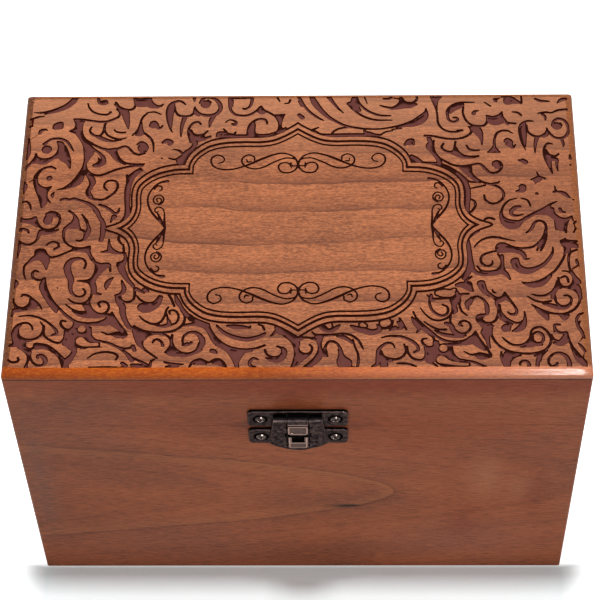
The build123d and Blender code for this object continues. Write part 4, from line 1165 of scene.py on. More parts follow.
# %% The back left corner
towards = LEFT, BACK
cut(87,46.9,.3,84.5,46.8,.7,81,47.8,.8,78,49.3,.8,75.8,51,.8,74.4,53,.8)
cut(83.3,46.3,.7,80,47.5,1.4,77,49.1,2,74.8,51.2,2.2,73.8,53,2)
cut(88,44,.7,85.5,45,.7,83.5,45.4,.4)
cut(69.6,50.7,.4,69,48.8,.6,67.5,47,.7,65,46,.7,62.8,46,.8,61.9,46.9,.9)
cut(66.3,53,.8,65.9,51.2,1.1,64.7,50.4,1.1,63.4,50.8,1,63.7,51.7,.8,65,51.6,.6)
cut(60.4,51,.8,59.2,49.2,.8,57,48,.8,54.8,48.1,.8,53.9,49.8,.8,54.2,52,.9,54.4,53,1)
cut(60.6,50.2,.8,58.9,48.2,1,57.2,46.8,2.6,56.6,44.4,2.2,56.1,42,1.4,55.8,40.1,.5)
cut(73.5,44,.9,70.8,43.9,.8,68,43.4,.8,65,42.9,.9,62.7,43.1,.9,60.8,43.9,.9,59.2,45,.8,58.8,46.8,.8,60,48.2,.6)
cut(53.6,51.2,1.8,52.4,50.5,3,50.2,50.7,3)
cut(54,52.6,.7,52,52.4,.7,50,53,.7)
cut(63.5,41.5,.7,63.4,39.4,.7,62.3,37.3,.7,60,36,.8,58,35.7,.7,56.2,36.2,.4)
cut(60.3,39.6,.5,59.6,38.8,.6,58,38.4,.7,56.7,38.5,.7)
cut(62.8,43,.7,63.6,41.6,.7)
cut(67.8,40.7,.6,68.2,39.2,.7,67.3,37.7,.9,65.8,37,.9,64.5,37.5,.8,63.8,39,.8,63.5,41,.8)
cut(70.8,41.8,.6,70.9,39.5,.6,70.3,37,.7,69.2,35.4,.8,67.6,34.2,.8,65.8,33,.8,63.8,31.9,.9,61.5,31.4,1,59.3,31.8,1)
cut(66.6,37.2,.7,64.8,36.4,1.4,62.8,35.4,1.5,60.5,34.9,.8,58,35.4,.6)
cut(70.4,43.2,.8,71.7,42.2,2.2,71.7,40.2,1.9,73.5,39.3,.7)
cut(73.5,43.8,.8,72.8,41.9,.7,73.2,40.2,.7,74.6,39.1,.7)
cut(74.6,39,.6,72.6,38.2,1,70.9,36,1.2,69.8,33.3,.8,69.3,30.2,.8,69.1,27,.8,69.6,24,.8,70.8,21.3,.8,72.7,18.2,.8,
    75,16.1,.7,77.2,15.3,.4)
cut(70.3,35,1.1,68.7,32.8,2.2,67.7,30.6,2.8,68.1,28.4,1.8,68.9,26,1,69,24,.8)
cut(68,33.6,.6,66.6,31.8,.8,64.6,30,1,63.3,28.2,1.4,63,26.2,1.5,64.2,24.9,1.1,66,25,1.2,65.2,25.8,.7,64.4,27,.8,
    64.8,28,.5)
cut(68.7,26.5,.6,68.6,24.3,.7,67.6,22.4,.8,66,21.3,.8,64,21,.8,62,21.7,.8,59.5,23,.8,56.5,24,.8,53.8,24.6,.9,
    50.5,24.9,.9)
cut(69,22.4,.5,67.7,20.4,.6,66.8,18.2,.7,67,16.6,.7,67.7,15,.7,67.5,13.4,.8,65.8,11.7,.9,63,11.3,.8,61,11.8,.5)
cut(68.3,21.6,.7,66.6,20.2,1.7,65.8,18.2,1.6,66.4,16.4,1.2,66.9,14.4,1,65.9,12.4,.9)
cut(69.2,21,.8,69.8,19.3,1.4,71,17.8,1.7,73,16.5,1.1,75.6,15.6,.5)
cut(82.6,33.8,1.4,81.7,34.9,.9,80.4,35.8,.9,77.8,36,1,75.5,34.9,1,74,32.8,.8,73,30.9,.35)
cut(81.7,31.6,3.3)
cut(78.3,34.4,.6,77.8,32,.7,78.5,29.6,.8,80.2,28.1,.8,82.6,27.6,.8,84.5,28.4,.8,85.1,29.6,.7)
cut(75.8,32.9,.7,74.8,30.2,.8,73.9,27,.8,73.7,23.8,.4)
cut(84.6,26.6,1.4,82,26.3,1.6,79.5,28,1.1,77.3,29,2.2,76,27.7,2.2,74.6,26.2,1.4,73.8,24.2,.5)
cut(78.4,34.7,.8,77.2,33.7,2,76.9,31,2.2,76.6,28.8,2.6)
cut(85,29.8,.7,85.4,28,.8,86.6,25.9,.9,88,23.9,1.1)
cut(86,26.4,1.4,84.5,26.5,1.2)
cut(78.3,23.8,.6,79.5,24.4,.8,81.5,24.2,.8,83.2,22.7,.8,84,20.5,.7,83.8,18.2,.7,82.5,16.6,.8,80.7,16,.8,79.2,16.6,.6)
cut(79.8,24.7,.7,82.6,23.7,.7,84.5,21.2,.8,84.8,18.5,.7,84,15.5,.7,82.8,12.5,.7,82,10,.7,81.7,8.4,.6)
cut(84.3,20,.8,83.8,17.4,1,82.1,14.9,2.8,81.3,12.4,1.8,81,10.2,1.9,81.4,8.5,.6)
cut(79.3,16.4,.6,80.4,14.4,.7,80.3,12.2,.7,79,10.2,.4)
cut(80,20,1.9)
cut(78.1,14.4,.4,78.6,13.3,1.1,78.4,12.4,.5)
cut(84.5,38.2,.9,84.2,39.2,1.3,82.9,39.8,.9,82.1,39.5,.4)
cut(80.2,40.3,.7,79.8,41.8,.9,77.6,42.6,.8,77.3,40.6,.7)
cut(79.3,40.6,1.8,77.8,40.7,1.6)
cut(79.2,41.4,1.5,78,41.7,1.4)
cut(88,41,1,87,41.2,.5)
cut(88,36,1,87.9,33,1.8,87.8,30,1.9,88,27.7,.8)
cut(88,18.4,.8,87.6,16.6,1.7,88,14,.7)
cut(88,10.4,.6,86.6,10.7,.7,85.4,9.4,.7,85,7.7,.5)
cut(88,3.8,.8,86.2,3.6,.8,84.4,4,.7,83.2,4.7,.6)
cut(75.6,11.3,1,74.4,11.8,.9,73,11.4,.9,71.5,11.8,.9,70,11.2,.9,68,10.5,1,66.3,9.5,1.2,64.8,8,1.4,63.5,6,1.3,
    62.8,3.6,.9)
cut(72.7,7.1,.35,71,5.3,.8,70,3.4,1.1,69.6,1.8,.9)
cut(68.5,5.2,.35,67.2,3.6,.7,66.5,1.8,.8)
cut(63.4,9.4,.7,61.4,8.5,1,59.5,7,1,58.4,6,1,57.3,6.3,.9,56.9,8,.4)
cut(61.2,15,.5,62.2,16.3,.7,62,17.9,.7,60.8,18.9,.7,58.8,18.7,.8,57.9,17,.8,58.3,15,.8,59.6,13.2,.8,61.5,11.8,.8)
cut(55.2,21,.7,55,18,.7,55.4,15,.6,55.2,11.5,.7,54.9,8,.7,55,5,.7,56,3,.6)
cut(50.6,23,1,53,20.8,1.6,54.2,17.4,1.6,54.5,14,1.6,54.4,10,1.3,54.1,6,1.6,54.8,3.6,1.4)
cut(55,20.2,.7,53,22.2,.8,51,23.7,.8)
cut(59.2,31.2,.8,58,32.2,.9,56.2,32.7,.9,54.8,31.6,.8,53.5,30,.8,51.8,29.3,.8,50,29.9,.8)
cut(59.2,31,.7,58.6,29,.7,57.3,27,.7,55.5,25.8,.8,53,25.4,.8,50,25.5,.7)
cut(62.2,31,.8,60.8,30.2,1.4,59.5,28.2,1.2,57.8,26.4,.9,56,25.4,.5)
cut(52.4,33.6,.8,51.2,34.4,.9,50,33.8,.9,49.2,32.4,.9,49.6,30.8,.8)
cut(51.3,32.2,2.2)
cut(51,30.4,1,51.8,31.4,.8)
cut(50,46.3,.7,51.4,44.4,.7,52,41.8,.7,52.6,39.5,.7,54.3,37.2,.5)
cut(51.6,42.5,.7,51.7,40,1.4,51.4,38,1.8,53,37.4,.8)
cut(50.4,38,.9,50,37.8,.8,48.5,36.2,.8,47.4,34,.7,47.1,30.4,.35)
print("back left corner cut")

# %% The back, left of the middle
cut(49.4,53,1.4,48.8,51.4,.9,47.5,49.8,.9,45.8,49.3,.9,44.8,50.2,.5)
cut(50,51.3,2,48.8,49.8,2.4,46.6,48.9,1)
cut(37.5,50,.5,38.5,51,.8,40,51.4,1,42,50.5,1,43.1,49,.8,43.5,46.5,.7,43.1,43.5,.7,42.3,40.6,.7,41.4,38.4,.35)
cut(41,49,.6,40.6,47,.7,39.6,45.5,.8,37.5,45,.9,35.6,45.4,.8,34.6,46.8,.7,34.4,48.8,.6)
cut(41.3,50.3,.9,42.1,48.6,2.2,42.3,46.4,2.2,42.2,43.6,1.6,41.9,40.6,.8)
cut(37.6,44.3,1.6,38.2,42,1.3,38.5,39,.9,38.5,36.6,.4)
cut(30.6,53,.9,28.2,52.5,1.2,26.4,50.4,1.4,26,48,1.4,27.4,45.9,1.4,30,45.3,1.2,32.8,46.2,.9,34.4,48.4,.7)
cut(30.9,50.1,3.3)
cut(30.6,53,1,32,52.2,1,32.7,50.6,.9)
cut(29.3,50.8,.8,30.2,51.9,.5)
cut(34.7,53,1.4,34.6,51.4,.5)
cut(34.6,48,.6,34,46.4,1.5,33,45.4,.9)
cut(28.2,45,1.6,29,43,1.4,29.4,40.5,.4)
cut(32.2,41.7,.6,33,42.6,.8,34.6,42.2,.9,35.8,40.5,.8,36.2,38.4,.8,35.7,36,.8,35.2,34.4,.8)
cut(35.2,39.2,.7,34.6,37.8,.8,33,37.1,.8,31.2,37.5,.8,29.9,38.9,.6)
cut(35.4,38,1,34.6,36.4,1.8,32.6,36.2,1.4,31,36,.8)
cut(34.6,35.4,1.6,33.8,33.6,1.8,35,31.8,1.1,36.6,30.4,1.2,37.6,28.6,1.6,38.6,26.6,2.2)
cut(32.6,35,1.3,30.6,35.8,1.1,29,36.6,.9)
cut(30.9,36.8,.4,30.8,35.2,.6)
cut(26.6,36.8,1.2,26.3,38,1.2,24.6,38.3,.9,23,37.7,.8,21.4,37.4,.8,20.8,38.4,.6)
cut(26,37,1.4,24,37,1.2,21,36.9,1.1,17,37,.9)
cut(24.2,42.4,.4,23,43.4,.5,21.6,43.2,.7,20.7,42.3,.9,21.2,41.4,1.1,22,41.8,.7)
cut(24.7,39.6,.6,23.8,38.6,.7)
cut(23,52.8,1.2,19,52.8,1.3,16,52.7,1.1,15.8,51,1,16.4,49,.9,17.8,48,.8,18.6,48.2,.7)
cut(23,53,1.2,23,50,1,22.6,47.6,.9,21.2,45.8,.9,19,45.2,.9,16.8,45.4,.9,14.6,46.8,.8,13,49,.5)
cut(22.5,51.4,1.6,22.3,49.2,.9)
cut(12.8,49,.5,13,47.4,1.5,12.4,46.8,2.2,11,46.8,.8)
cut(12.7,49.2,.5,11.6,47.4,.7,10,46.4,.7,8,44.8,.7,6.9,42.6,.7,6.7,40.4,.7,7.4,38.4,.8,10,37.3,.9)
cut(10.6,41.8,.6,11,43.2,.8,12.4,43.8,.9,14.2,43.4,.8,15.8,42,.8,16.7,40,.8,16.9,37.6,.8)
cut(14.6,41.4,.7,14.8,39,.8,14.2,37.5,.8,12.4,37.1,.9,10,37.2,.9)
cut(14.9,42.2,.9,15.6,40.4,1.8,15.8,38.4,2,15.6,37.2,1.4)
cut(48.4,41.2,1.4,47.6,42.2,2.2,46.6,41.4,1.6,46,40.2,1,45.2,40.4,.8,44.6,41.3,.4)
cut(47.6,41.2,2.2)
cut(44.2,34.2,1,43,34.9,1.7,41.8,34.4,1.9,42,33.6,1.4)
cut(50,46.6,.4,47.5,46.9,.6,45.3,45.8,.35)
cut(41,31.4,.3,39,31,.7,37.7,29.7,.9)
cut(42.2,27.9,.4,40,27.3,.8,38.2,28.5,.9)
cut(44.3,27.8,.6)
print("back, left of the middle cut")

# %% The middle of the back
towards = RIGHT, BACK
cut(-5.2,45.4,.7,-6,43,.8,-6.2,40.8,.7,-5.6,39.4,.8)
cut(-8,45.3,.7,-5,45.5,.7)
cut(-7.2,45,1.1,-6.4,43.6,1.4,-6.3,41.6,.8)
cut(-7.2,38.4,1,-5.6,39,1,-4.6,40,.8)
cut(-7.4,52.8,.8,-6.6,51,.4)
cut(-5,50.2,.4,-3.7,50.4,.6,-3.2,51.6,.8)
cut(-.4,53,1.2,.6,50.8,1,1.9,48.4,.9,3.8,46,.9,6.2,44,.8,7.8,43,.35)
cut(.1,51,1.4,.6,49.2,.9)
cut(3.8,53,1.6,5,50.2,2.2,6.8,47.4,1.8,9.6,44.2,1.3,13,41.8,.9,15.5,40.6,.9,18,40,.8,22,39.4,.7,26,39.4,.6,30,40.1,.7)
cut(9.4,53,1.6,10.8,50.6,1.1,12.4,48.2,.8,14.2,46.1,.35)
cut(15.6,50.2,.7,17,50.8,1.1,17.9,53,1.6)
cut(15.6,50,.7,17.4,47.6,.8,19.4,45.6,.8,22,44,.8,25,43.1,.7,30,43,.4)
cut(18.6,52.6,.8,19.4,50.2,.8,21.2,47.8,.9,23.6,46,.9,26.4,45,.8,29.6,44.9,.5)
cut(17.4,50.2,1.6,18.2,48.7,2.2,19.4,47.2,1.4)
cut(21.2,52.6,.5,22,50,.3)
cut(26.2,49.2,.4,28.4,48.4,.9,30,48.2,.8,31.5,49,.8,32.7,50.5,.8,33,52.8,.7)
cut(27.4,52,.7,29.2,52,.9,29.8,52.6,.8)
cut(-.2,45.4,1.3,.8,44.3,1.6)
cut(3.8,39,.7,5,39.6,.7,6.2,40.2,.35)
cut(5.4,38.2,.8,7,37.3,.9,10,37.1,1,15,37.2,1,21,37.2,1)
cut(4.4,38.6,1,5.2,38.4,1)
cut(10.2,37,.7,11,38.4,.7,12.8,39.6,.7,15.4,40.2,.7)
cut(21,38.9,.8,21.4,38,1.2,22.6,37.7,1.3,24,37.2,1,26,36.9,.8)
cut(26.2,37,.6,28,38.2,.6,30,38.6,.5)
cut(30,39.2,.5,33,39.6,.5)
print("middle of the back cut")

# %% The back, right of the middle
cut(33.5,52.2,.7,34.2,50.8,.8,35.8,50.2,.8,37.4,50.6,.8,38.3,51.8,.8,38.3,53,.8)
cut(30,47.7,.8,32,48.3,1.6,34,48.9,2,36,48.8,1.5,38,49.6,1)
cut(41.2,47.8,.5,40.8,46.2,.8,39.2,44.8,.8,37,42.9,.8,34.6,41.6,.8,32,40.6,.8,30,40.2,.7)
cut(41.3,46.8,.8,41,44.6,1.8,39.4,42.7,2.4,37,41.3,2,34,40.7,1.1,31,40.1,.5)
cut(43,53,1,43.8,50,.7,44.5,47.5,.6,44.8,44.6,.6,44.9,42,.7,45.9,39.8,.7,47.8,38.4,.7,50.4,38,.8,52.2,38.6,.7)
cut(43.4,53,1.6,44.4,51.4,1.6,45.8,53,1.6)
cut(44.4,51.8,1.8,44.6,49.6,.9,44.6,47,.6)
cut(50,44,.7,51,43.9,.9,51.3,42.9,.9,50,42.2,.9,48.5,43,.9,48.1,45,.9,48,46.6,.8,49,48.4,.8,51,49.8,.8,53.4,50.3,.7,
    57,50.3,.35)
cut(49,46,1,50,47.6,2,52,48.6,1.8,53.3,49.4,1)
cut(53.4,48.4,.6,53.1,46.2,.7,53.5,44.2,.7,54.4,42.2,.8,56,40.8,.8,58.2,40.3,.9,60,40.8,.8,60.9,42.4,.8,61,44.4,.8)
cut(56.6,45.6,1.4,57,46.5,1,58.2,46.8,.4)
cut(60.4,50.2,.5,62.2,48.7,.6)
cut(63.6,51.6,.9,64,50.8,1.1)
cut(60.9,44.6,.9,62.8,44.1,.9,64.8,44.8,.9,65.9,46.2,.6)
cut(61.7,43.2,1.4,62.8,42.2,2.8,65,42.5,2.8,66,43.4,1.4,67.4,41.2,.9)
cut(65.8,45.4,.7,66.2,43,.8,67.6,41.7,.8,70,41.4,.8)
cut(66.4,52.8,1.2,68.4,52.5,1.4,70.6,51,1.2,72.2,49.8,.8)
cut(67,51.6,.9,67.6,50.2,1.8,69.4,50.4,1.6,71,50,.8)
cut(72.4,53,.6,72.5,50,.6)
cut(40.6,36.5,1,43,36.4,.8,46,35.6,.8,49,35.1,.8,51.6,35.3,.8,53.8,36.1,.8,55.3,37.4,.8,55.6,38.8,.8,54.8,40.2,.6)
cut(55.8,40,1.2,57.4,38.8,3,58.4,36.6,2,58.8,34.4,.9,58.8,32.7,.4)
cut(52.6,38.7,.9,51,38.6,.6)
cut(46.4,33.2,.7,45.8,31.9,.8,46.6,30.5,.9,48.4,29.8,.9,49.6,30.4,.8,50,32,.7,50.3,34,.7)
cut(43.4,34.6,.5,43.2,32,.6,43.7,29.4,.7,45,27.4,.8,47,25.9,.8,49.2,24.6,.8,52,24,.8,54.6,24.4,.8,57,25,.9,
    58.2,24.6,.9,59.6,22.8,1.1,60.8,21.5,.9,62.4,21.3,.8,63.8,22,.8,64.8,23.6,.8,64.6,25.2,.8,63.5,26.1,.8,
    62.3,25.6,.9,62.1,24.4,.9)
cut(63.4,24.1,2.3)
cut(41.8,35.4,1.5,42.2,33.8,1.6,41.4,32,1.4,42.8,29.8,1.2,44,28,1.4,45,25.8,1.5)
cut(39.8,25.6,.9,43.8,25.4,.9)
cut(36,28.6,.8,37.6,27,1.8,38.8,26,1.4)
cut(36.3,27,.7,36.5,25.8,.8)
cut(34,32.8,.9,34.9,34.6,.9,36.6,35,.8,36.8,33,.8)
cut(35.4,33.6,2)
cut(49,29.2,.6,50.8,28.6,1.4,53,27.7,1.2,55.4,27.6,.9,57.6,28,.5)
cut(50.4,31.6,.7,51.2,29.8,.8,52.8,28.4,.8,54.8,27.9,.8,57.6,28.3,.4)
cut(53.8,32.5,.6,54.6,31,.7,56.2,30.5,.7,57.8,30.5,.6)
cut(68.8,37.4,.4,67.3,38.4,.7,65.4,38.4,.8,63.8,37.4,.8,63,35.2,.8,62.7,33.2,.8)
cut(62.9,34.4,.6,62.7,32,1.1,62,30.7,1.3,60.8,29.8,.6)
cut(62.9,31.4,1.2,64.2,29.8,.6)
cut(60.6,29.7,.6,64.4,29.7,.6)
cut(66.4,34,1.2,67,34.8,1.4,68,34,1.6,68,32.4,1.6,68.8,31.6,1,69.6,32.7,.4)
cut(67.2,33,1.8)
cut(45.8,25,.6,48,23.8,.7,50.2,22,.7,52.3,19.8,.7,54.2,17.9,.7,57,17.6,.6)
cut(54.6,15.2,.5,57,15.8,.6,59.2,16.4,.6)
cut(51.6,23.5,.9,53,22.5,2,54.4,20.8,1.6,55.6,18.9,1.1,57.6,17.5,.7)
cut(55,23.8,.6,55,21.4,.7,56.2,19.4,.8,58.4,17.7,.8,60.8,16.9,.9,63,17.3,.8,63.8,17.9,.4)
cut(61.4,16.5,.8,63.4,15.7,.8,64.8,13.6,.9,64.6,11.4,.8,63,9.6,.7,60.8,9.2,.8,59,10.6,.8,58.7,12.5,.6)
cut(50.6,21.4,1.2,52.6,18.6,1.6,53.5,15.6,1.7,53.6,12,1.7,53.2,8,1.5,53.3,5,1.3,54.6,3,1)
cut(54,11.2,.6,55.4,10.2,.8,55.8,8.6,.8,55,6.8,.8,54.2,5.9,.7)
cut(58.4,3,.6,59.8,3.6,.8,61.4,3,.8)
print("back, right of the middle cut")

# %% The back right corner
cut(69,11.2,.35,66.5,10.4,.6,64.6,8.2,.7,63.9,5.6,.7,64.6,3.6,.8,66.6,2.5,.9,70,2.4,.9,73,4.2,.9,77,7,.9,79.3,8.7,.8,
    81.5,9.9,.35)
cut(70.4,11.2,.5,72.3,10.4,.7,73.1,8.2,.6)
cut(69.8,8,.9,68.2,7.6,1.3,67,6.2,1.4,67.2,4.7,1.1,69,4.4,.7,70.8,5,.35)
cut(79.4,8.6,.6,78.6,7.3,1.7,77.2,6,1.9,79,5,1.8,80.4,3.6,1.5)
cut(74.8,5,.7,77,5.6,1.2)
cut(80,7.4,.6,80.4,5.2,.8,82,3.6,.8,83.8,3.1,.8,85.5,3.8,.6)
cut(82.3,7,1,82.8,5.9,1,83.9,5.6,.5)
cut(71.6,26.2,1.7,72.4,25.6,1.7,70.4,26.4,.8)
cut(71,15.6,2.5,70.8,14.4,1.9,69,14,.7)
cut(75.4,13,1.1)
cut(74,18.6,.7,75.2,19,1,76.4,19.6,1,78.3,19,.8)
cut(76.4,19.8,.7,75.8,21.6,.35)
cut(75.4,18.2,1.7,76.6,18.6,1.3,75.2,17.2,.5)
cut(80.8,13.6,.9,82,13.8,.9,84,13,1.5,85.4,11.6,.8)
cut(81.4,14,.7,81.2,16,.35)
cut(75.8,42.3,.5,74,42.4,.8,72.2,41.4,.9,71.2,39.6,.8,71.2,36.8,.7,71.8,33.4,.7,72.7,30.7,.35)
cut(73.6,40.6,.6,73.8,38.2,.7,75.4,36.4,.8,77.6,36,.9,79.4,37.2,.8,80.2,38.8,.6)
cut(73.1,41.4,.8,72.5,39.6,1.7,72.6,37.2,1.9,72.6,34.8,1.3,72.7,32,.6)
cut(76.6,35.4,1.4,76,33.2,1.1,75.8,31,.7,75.7,29.3,.35)
cut(83.4,40.3,3.1)
cut(81.9,40.4,.8,82.4,42.2,.9,84,43.3,1,86,42.4,1,87,39.8,1,86.6,37,1,84.8,35.3,1,82.4,35.6,.9,80.8,37.4,.8,
    80,39.4,.5)
cut(84.6,41.4,.7,85,40.4,.5)
cut(80,38.4,.5,79.9,36.8,1.2,78.8,35.9,.9)
cut(84.6,34.8,1,85,33,.9,85,31.8,.35)
cut(81.5,32.9,.4,80,33.1,.8,78.9,31.6,.8,78.5,29.6,.7,78.8,27,.7,79.8,24,.7,80.8,21,.4)
cut(79.2,30.6,.6,80.2,28.6,.8,82,27.9,.8,83.2,28.8,.7)
cut(79.6,28.4,.9,80.6,27,1.6,82.4,26.6,1.4)
cut(80,26,1.6,80.4,23.8,.8,80.8,21.4,.4)
cut(82.6,26.4,1.1,82.4,24,.8,82.6,22,.35)
cut(77,51.6,.9,78.4,50.8,1.1,80.6,50.6,.8,81.6,50.6,.35)
cut(84.2,50,.6,85.4,51.2,1.3,87,51.6,1)
cut(77.6,45.6,.5,80,46,.8,82,45.8,.6,84,46.8,.8,87,47.2,.8)
cut(79,45.2,1.1,79.8,44,.9,79.8,42.7,.4)
cut(69.2,46.2,.4,70.8,46,.8,72,44.8,.8)
cut(86.8,28.4,.6,86.8,27,1)
cut(86.7,24.4,.7)
cut(86.8,10.5,.6)
print("back right corner cut")

# %% The middle of the left end
towards = LEFT, BACK
cut(79.9,5.7,.9,78.5,6.6,.8,76.8,6.2,.8,75.7,4.8,.8,75.5,2.8,.8,76.3,.9,.8,78,-.2,.8,79.8,-.3,.8,81.4,.6,.8,
    82.6,2.4,.8,83.2,4.3,.7)
cut(79.3,3.1,2.9,79.2,4.2,2.6,78.6,5.4,2,77.6,5.6,1.4,76.6,4.8,.9)
cut(75.8,-.4,.7,77.6,-1.3,1.2,79.6,-1.5,1.6,81,-1.2,1.8,81.7,-2.4,1.2,82,-4,.8)
cut(88,.1,.7,86.6,0,.9,85.4,-.6,.9,85,-1.5,.6)
cut(87.8,-.2,1.2,87.4,-1,.8)
cut(88,4.2,.8,87,3.6,1,85.4,3.3,1.4,84,3.4,1.8,83.2,4.4,1)
cut(87.6,3,.9,86,2.8,1.2,84.4,2.6,1.6,83.4,2,1.2,82.6,1,.8)
cut(72.8,7,.8,71.4,5.8,.8,70.9,4.4,.9,71.4,2.6,1,72.6,1.2,1.2,73.6,0,1.2,74,-1.6,.9,73.8,-3.4,.8)
cut(70.7,3.4,1,70.7,2.2,1.5,70.9,1.2,2.4)
cut(72.6,.6,1.2,70.8,.7,1.6,69.3,.5,1)
cut(68.6,5.6,.5,67.8,4.2,.7,67,2.6,.8,66.3,.9,1,66.2,-.8,1.6,66.6,-2.4,1.6,67.2,-3.8,1.2)
cut(69.9,3,.6,69.4,1.2,.8,68.8,-.2,.8,67.8,-.8,.8,67.1,-1.6,.8)
cut(64.8,7,.8,63.8,5.8,1,62.8,4.2,1.4,61.9,2.6,1.5,61.6,.8,1.8,61.6,-1,1.8,61.7,-2.6,1.5,62,-4.4,1.5)
cut(58.4,4.6,1.8,59,3.6,1,59.4,2.3,.4)
print("middle of the left end cut")

# %% The middle of the right end
towards = RIGHT, BACK
cut(58.7,3,.6,59.4,3.5,.6,60.8,3.5,.6,61.5,2.8,.5)
cut(63.6,5.8,.8,63.7,3.6,1.2,64.6,1.6,2,66.4,.6,2.9,68.4,.8,2.4,69.6,1.9,1.4,70.6,2.9,.8)
cut(69.6,2.4,.8,71.4,3.7,.8,73.4,5,.8,75.2,6,.8,77,7,.8)
cut(75.4,5.4,.8,77,5.6,2,78.6,5.6,2.4,79.8,4.6,1.6,80.6,3.2,1.2,80.8,2,.8)
cut(80.2,7,.8,80.1,5.4,.9,81,3.9,1.2,82.6,3,1.4,84.4,3,1.1,85.8,4,.7)
cut(81.4,2.4,1.8,82,1,3,82,0,2.6)
cut(84.7,2.8,.7,84,1,.8,83.7,-.6,.8,83.7,-2.2,.7)
cut(80.6,2.4,.8,80.6,.6,.7,80.6,-.7,.6)
cut(80.6,-.9,.6,82.2,-1.2,.8,83.4,-1.4,.8)
cut(71.3,-2.2,.6,72.4,-1.3,.9,73.2,-.2,1.1,73.8,1.2,1,74.7,2.2,.8,75.8,2.4,.8,77,1.7,.8,77.5,.4,.8,77.5,-1.4,.8,
    77,-3.2,.7)
cut(52.4,-4.6,1.4,54,-2.6,1.8,56,-1.4,1.4)
cut(86.3,1.2,.6,87.1,2.1,.6)
cut(86,-2.2,.5,86.9,-.5,.6)
cut(83.2,-4.6,.7)
print("middle of the right end cut")

# %% [markdown]
# ## The frame round the panel
#
# The panel's frame is a closed outline, the same in all four quarters. Two
# rails run round inside it, with a groove between them. The rails are wider
# across the long stretches than across the ends, so the distance to the
# outline is measured with the depth squeezed. That distance would round the
# rails where they pass the four notches, so there the larger of the two side
# steps counts instead, which keeps the corners square.

# %% The frame
frame_centre, frame_turn, frame_squeeze = (-0.26, 0.5), 0.008, 0.75
drawn_from = (-0.26, 0.6)  # the middle, as the points below have it
outer_rail_end, inner_rail_start, inner_rail_end, panel_start = 1.05, 1.65, 2.4, 2.8  # steps in from the outline
frame_gap = 0.5  # the groove all round the outside
side_points = [
    (-61, 0), (-56.9, -1.6), (-54, -4), (-52.7, -7.5), (-52.8, -12), (-52.3, -16), (-50.6, -18.9),
    (-47.6, -21.5), (-43.7, -23.4), (-39.8, -24.3), (-36.3, -24.5),
]  # fmt: skip
front_points = [
    (-36.3, -24.5), (-35.8, -26.2), (-34.6, -28.6), (-32.4, -31.1), (-28.8, -33.6), (-24, -34.9), (-18, -35.2),
    (-12, -35.1), (-8, -35.7), (-4, -37.7), (0.3, -40.6),
]  # fmt: skip


def frame_outline():
    """The whole outline and the numbers of its four notches, from one quarter mirrored twice and turned a little."""
    halves = [smooth_curve([(x, y, 1) for x, y in part], on_paper=False)[:, :2] for part in (side_points, front_points)]
    quarter = np.vstack([halves[0], halves[1][1:]]) - drawn_from
    quarter += frame_turn * np.stack([quarter[:, 1], -quarter[:, 0]], 1)
    quarter[0, 1] = quarter[-1, 0] = 0
    lower = np.vstack([quarter, (quarter * (-1, 1))[::-1][1:]])
    whole = np.vstack([lower, (lower * (1, -1))[::-1][1:-1]])
    whole = whole + frame_turn * np.stack([-whole[:, 1], whole[:, 0]], 1) + frame_centre
    notch, last = len(halves[0]) - 1, len(lower) - 1
    return np.stack(squared_up(whole[:, 0], whole[:, 1]), 1), [notch, last - notch, last + notch, 2 * last - notch]


def inside_loop(loop, gx, gy):
    """Which grid points lie inside a closed loop: those with an odd number of its edges to their right."""
    inside = np.zeros(gx.shape, bool)
    for (x0, y0), (x1, y1) in zip(loop, np.roll(loop, -1, 0)):
        if y0 != y1:
            inside ^= ((y0 > gy) != (y1 > gy)) & (gx < x0 + (gy - y0) * (x1 - x0) / (y1 - y0))
    return inside


outline, notches = frame_outline()
outline = outline * (1, frame_squeeze)
frame_reach = np.array((66, 47))  # half a window that holds all of the frame
window, gx, gy = grid_window(-frame_reach, frame_reach)
gy = gy * frame_squeeze
away = np.full(gx.shape, 99.0)
for (x0, y0), (x1, y1) in zip(outline, np.roll(outline, -1, 0)):
    run_x, run_y = x1 - x0, y1 - y0
    along = np.clip(((gx - x0) * run_x + (gy - y0) * run_y) / (run_x**2 + run_y**2), 0, 1)
    away = np.minimum(away, np.hypot(gx - x0 - along * run_x, gy - y0 - along * run_y))
for notch_x, notch_y in outline[notches]:
    step_x, step_y = (notch_x - gx) * np.sign(notch_x), (notch_y - gy) * np.sign(notch_y)
    away = np.where((step_x > 0) & (step_y > 0), np.minimum(away, np.maximum(step_x, step_y)), away)
depth_in = np.where(inside_loop(outline, gx, gy), away, -away)
outer_rail = np.minimum(depth_in, outer_rail_end - depth_in)
inner_rail = np.minimum(depth_in - inner_rail_start, inner_rail_end - depth_in)
panel = depth_in - panel_start
around = np.minimum(field[window], -depth_in - frame_gap)
field[window] = np.maximum(around, np.maximum(np.maximum(outer_rail, inner_rail), panel))
print("frame drawn with", len(outline), "points")

# %% [markdown]
# ## Vines inside the panel
#
# Thin vines curl in from the middle of each side of the panel. One quarter is
# drawn and mirrored, and the middle of the panel stays plain.

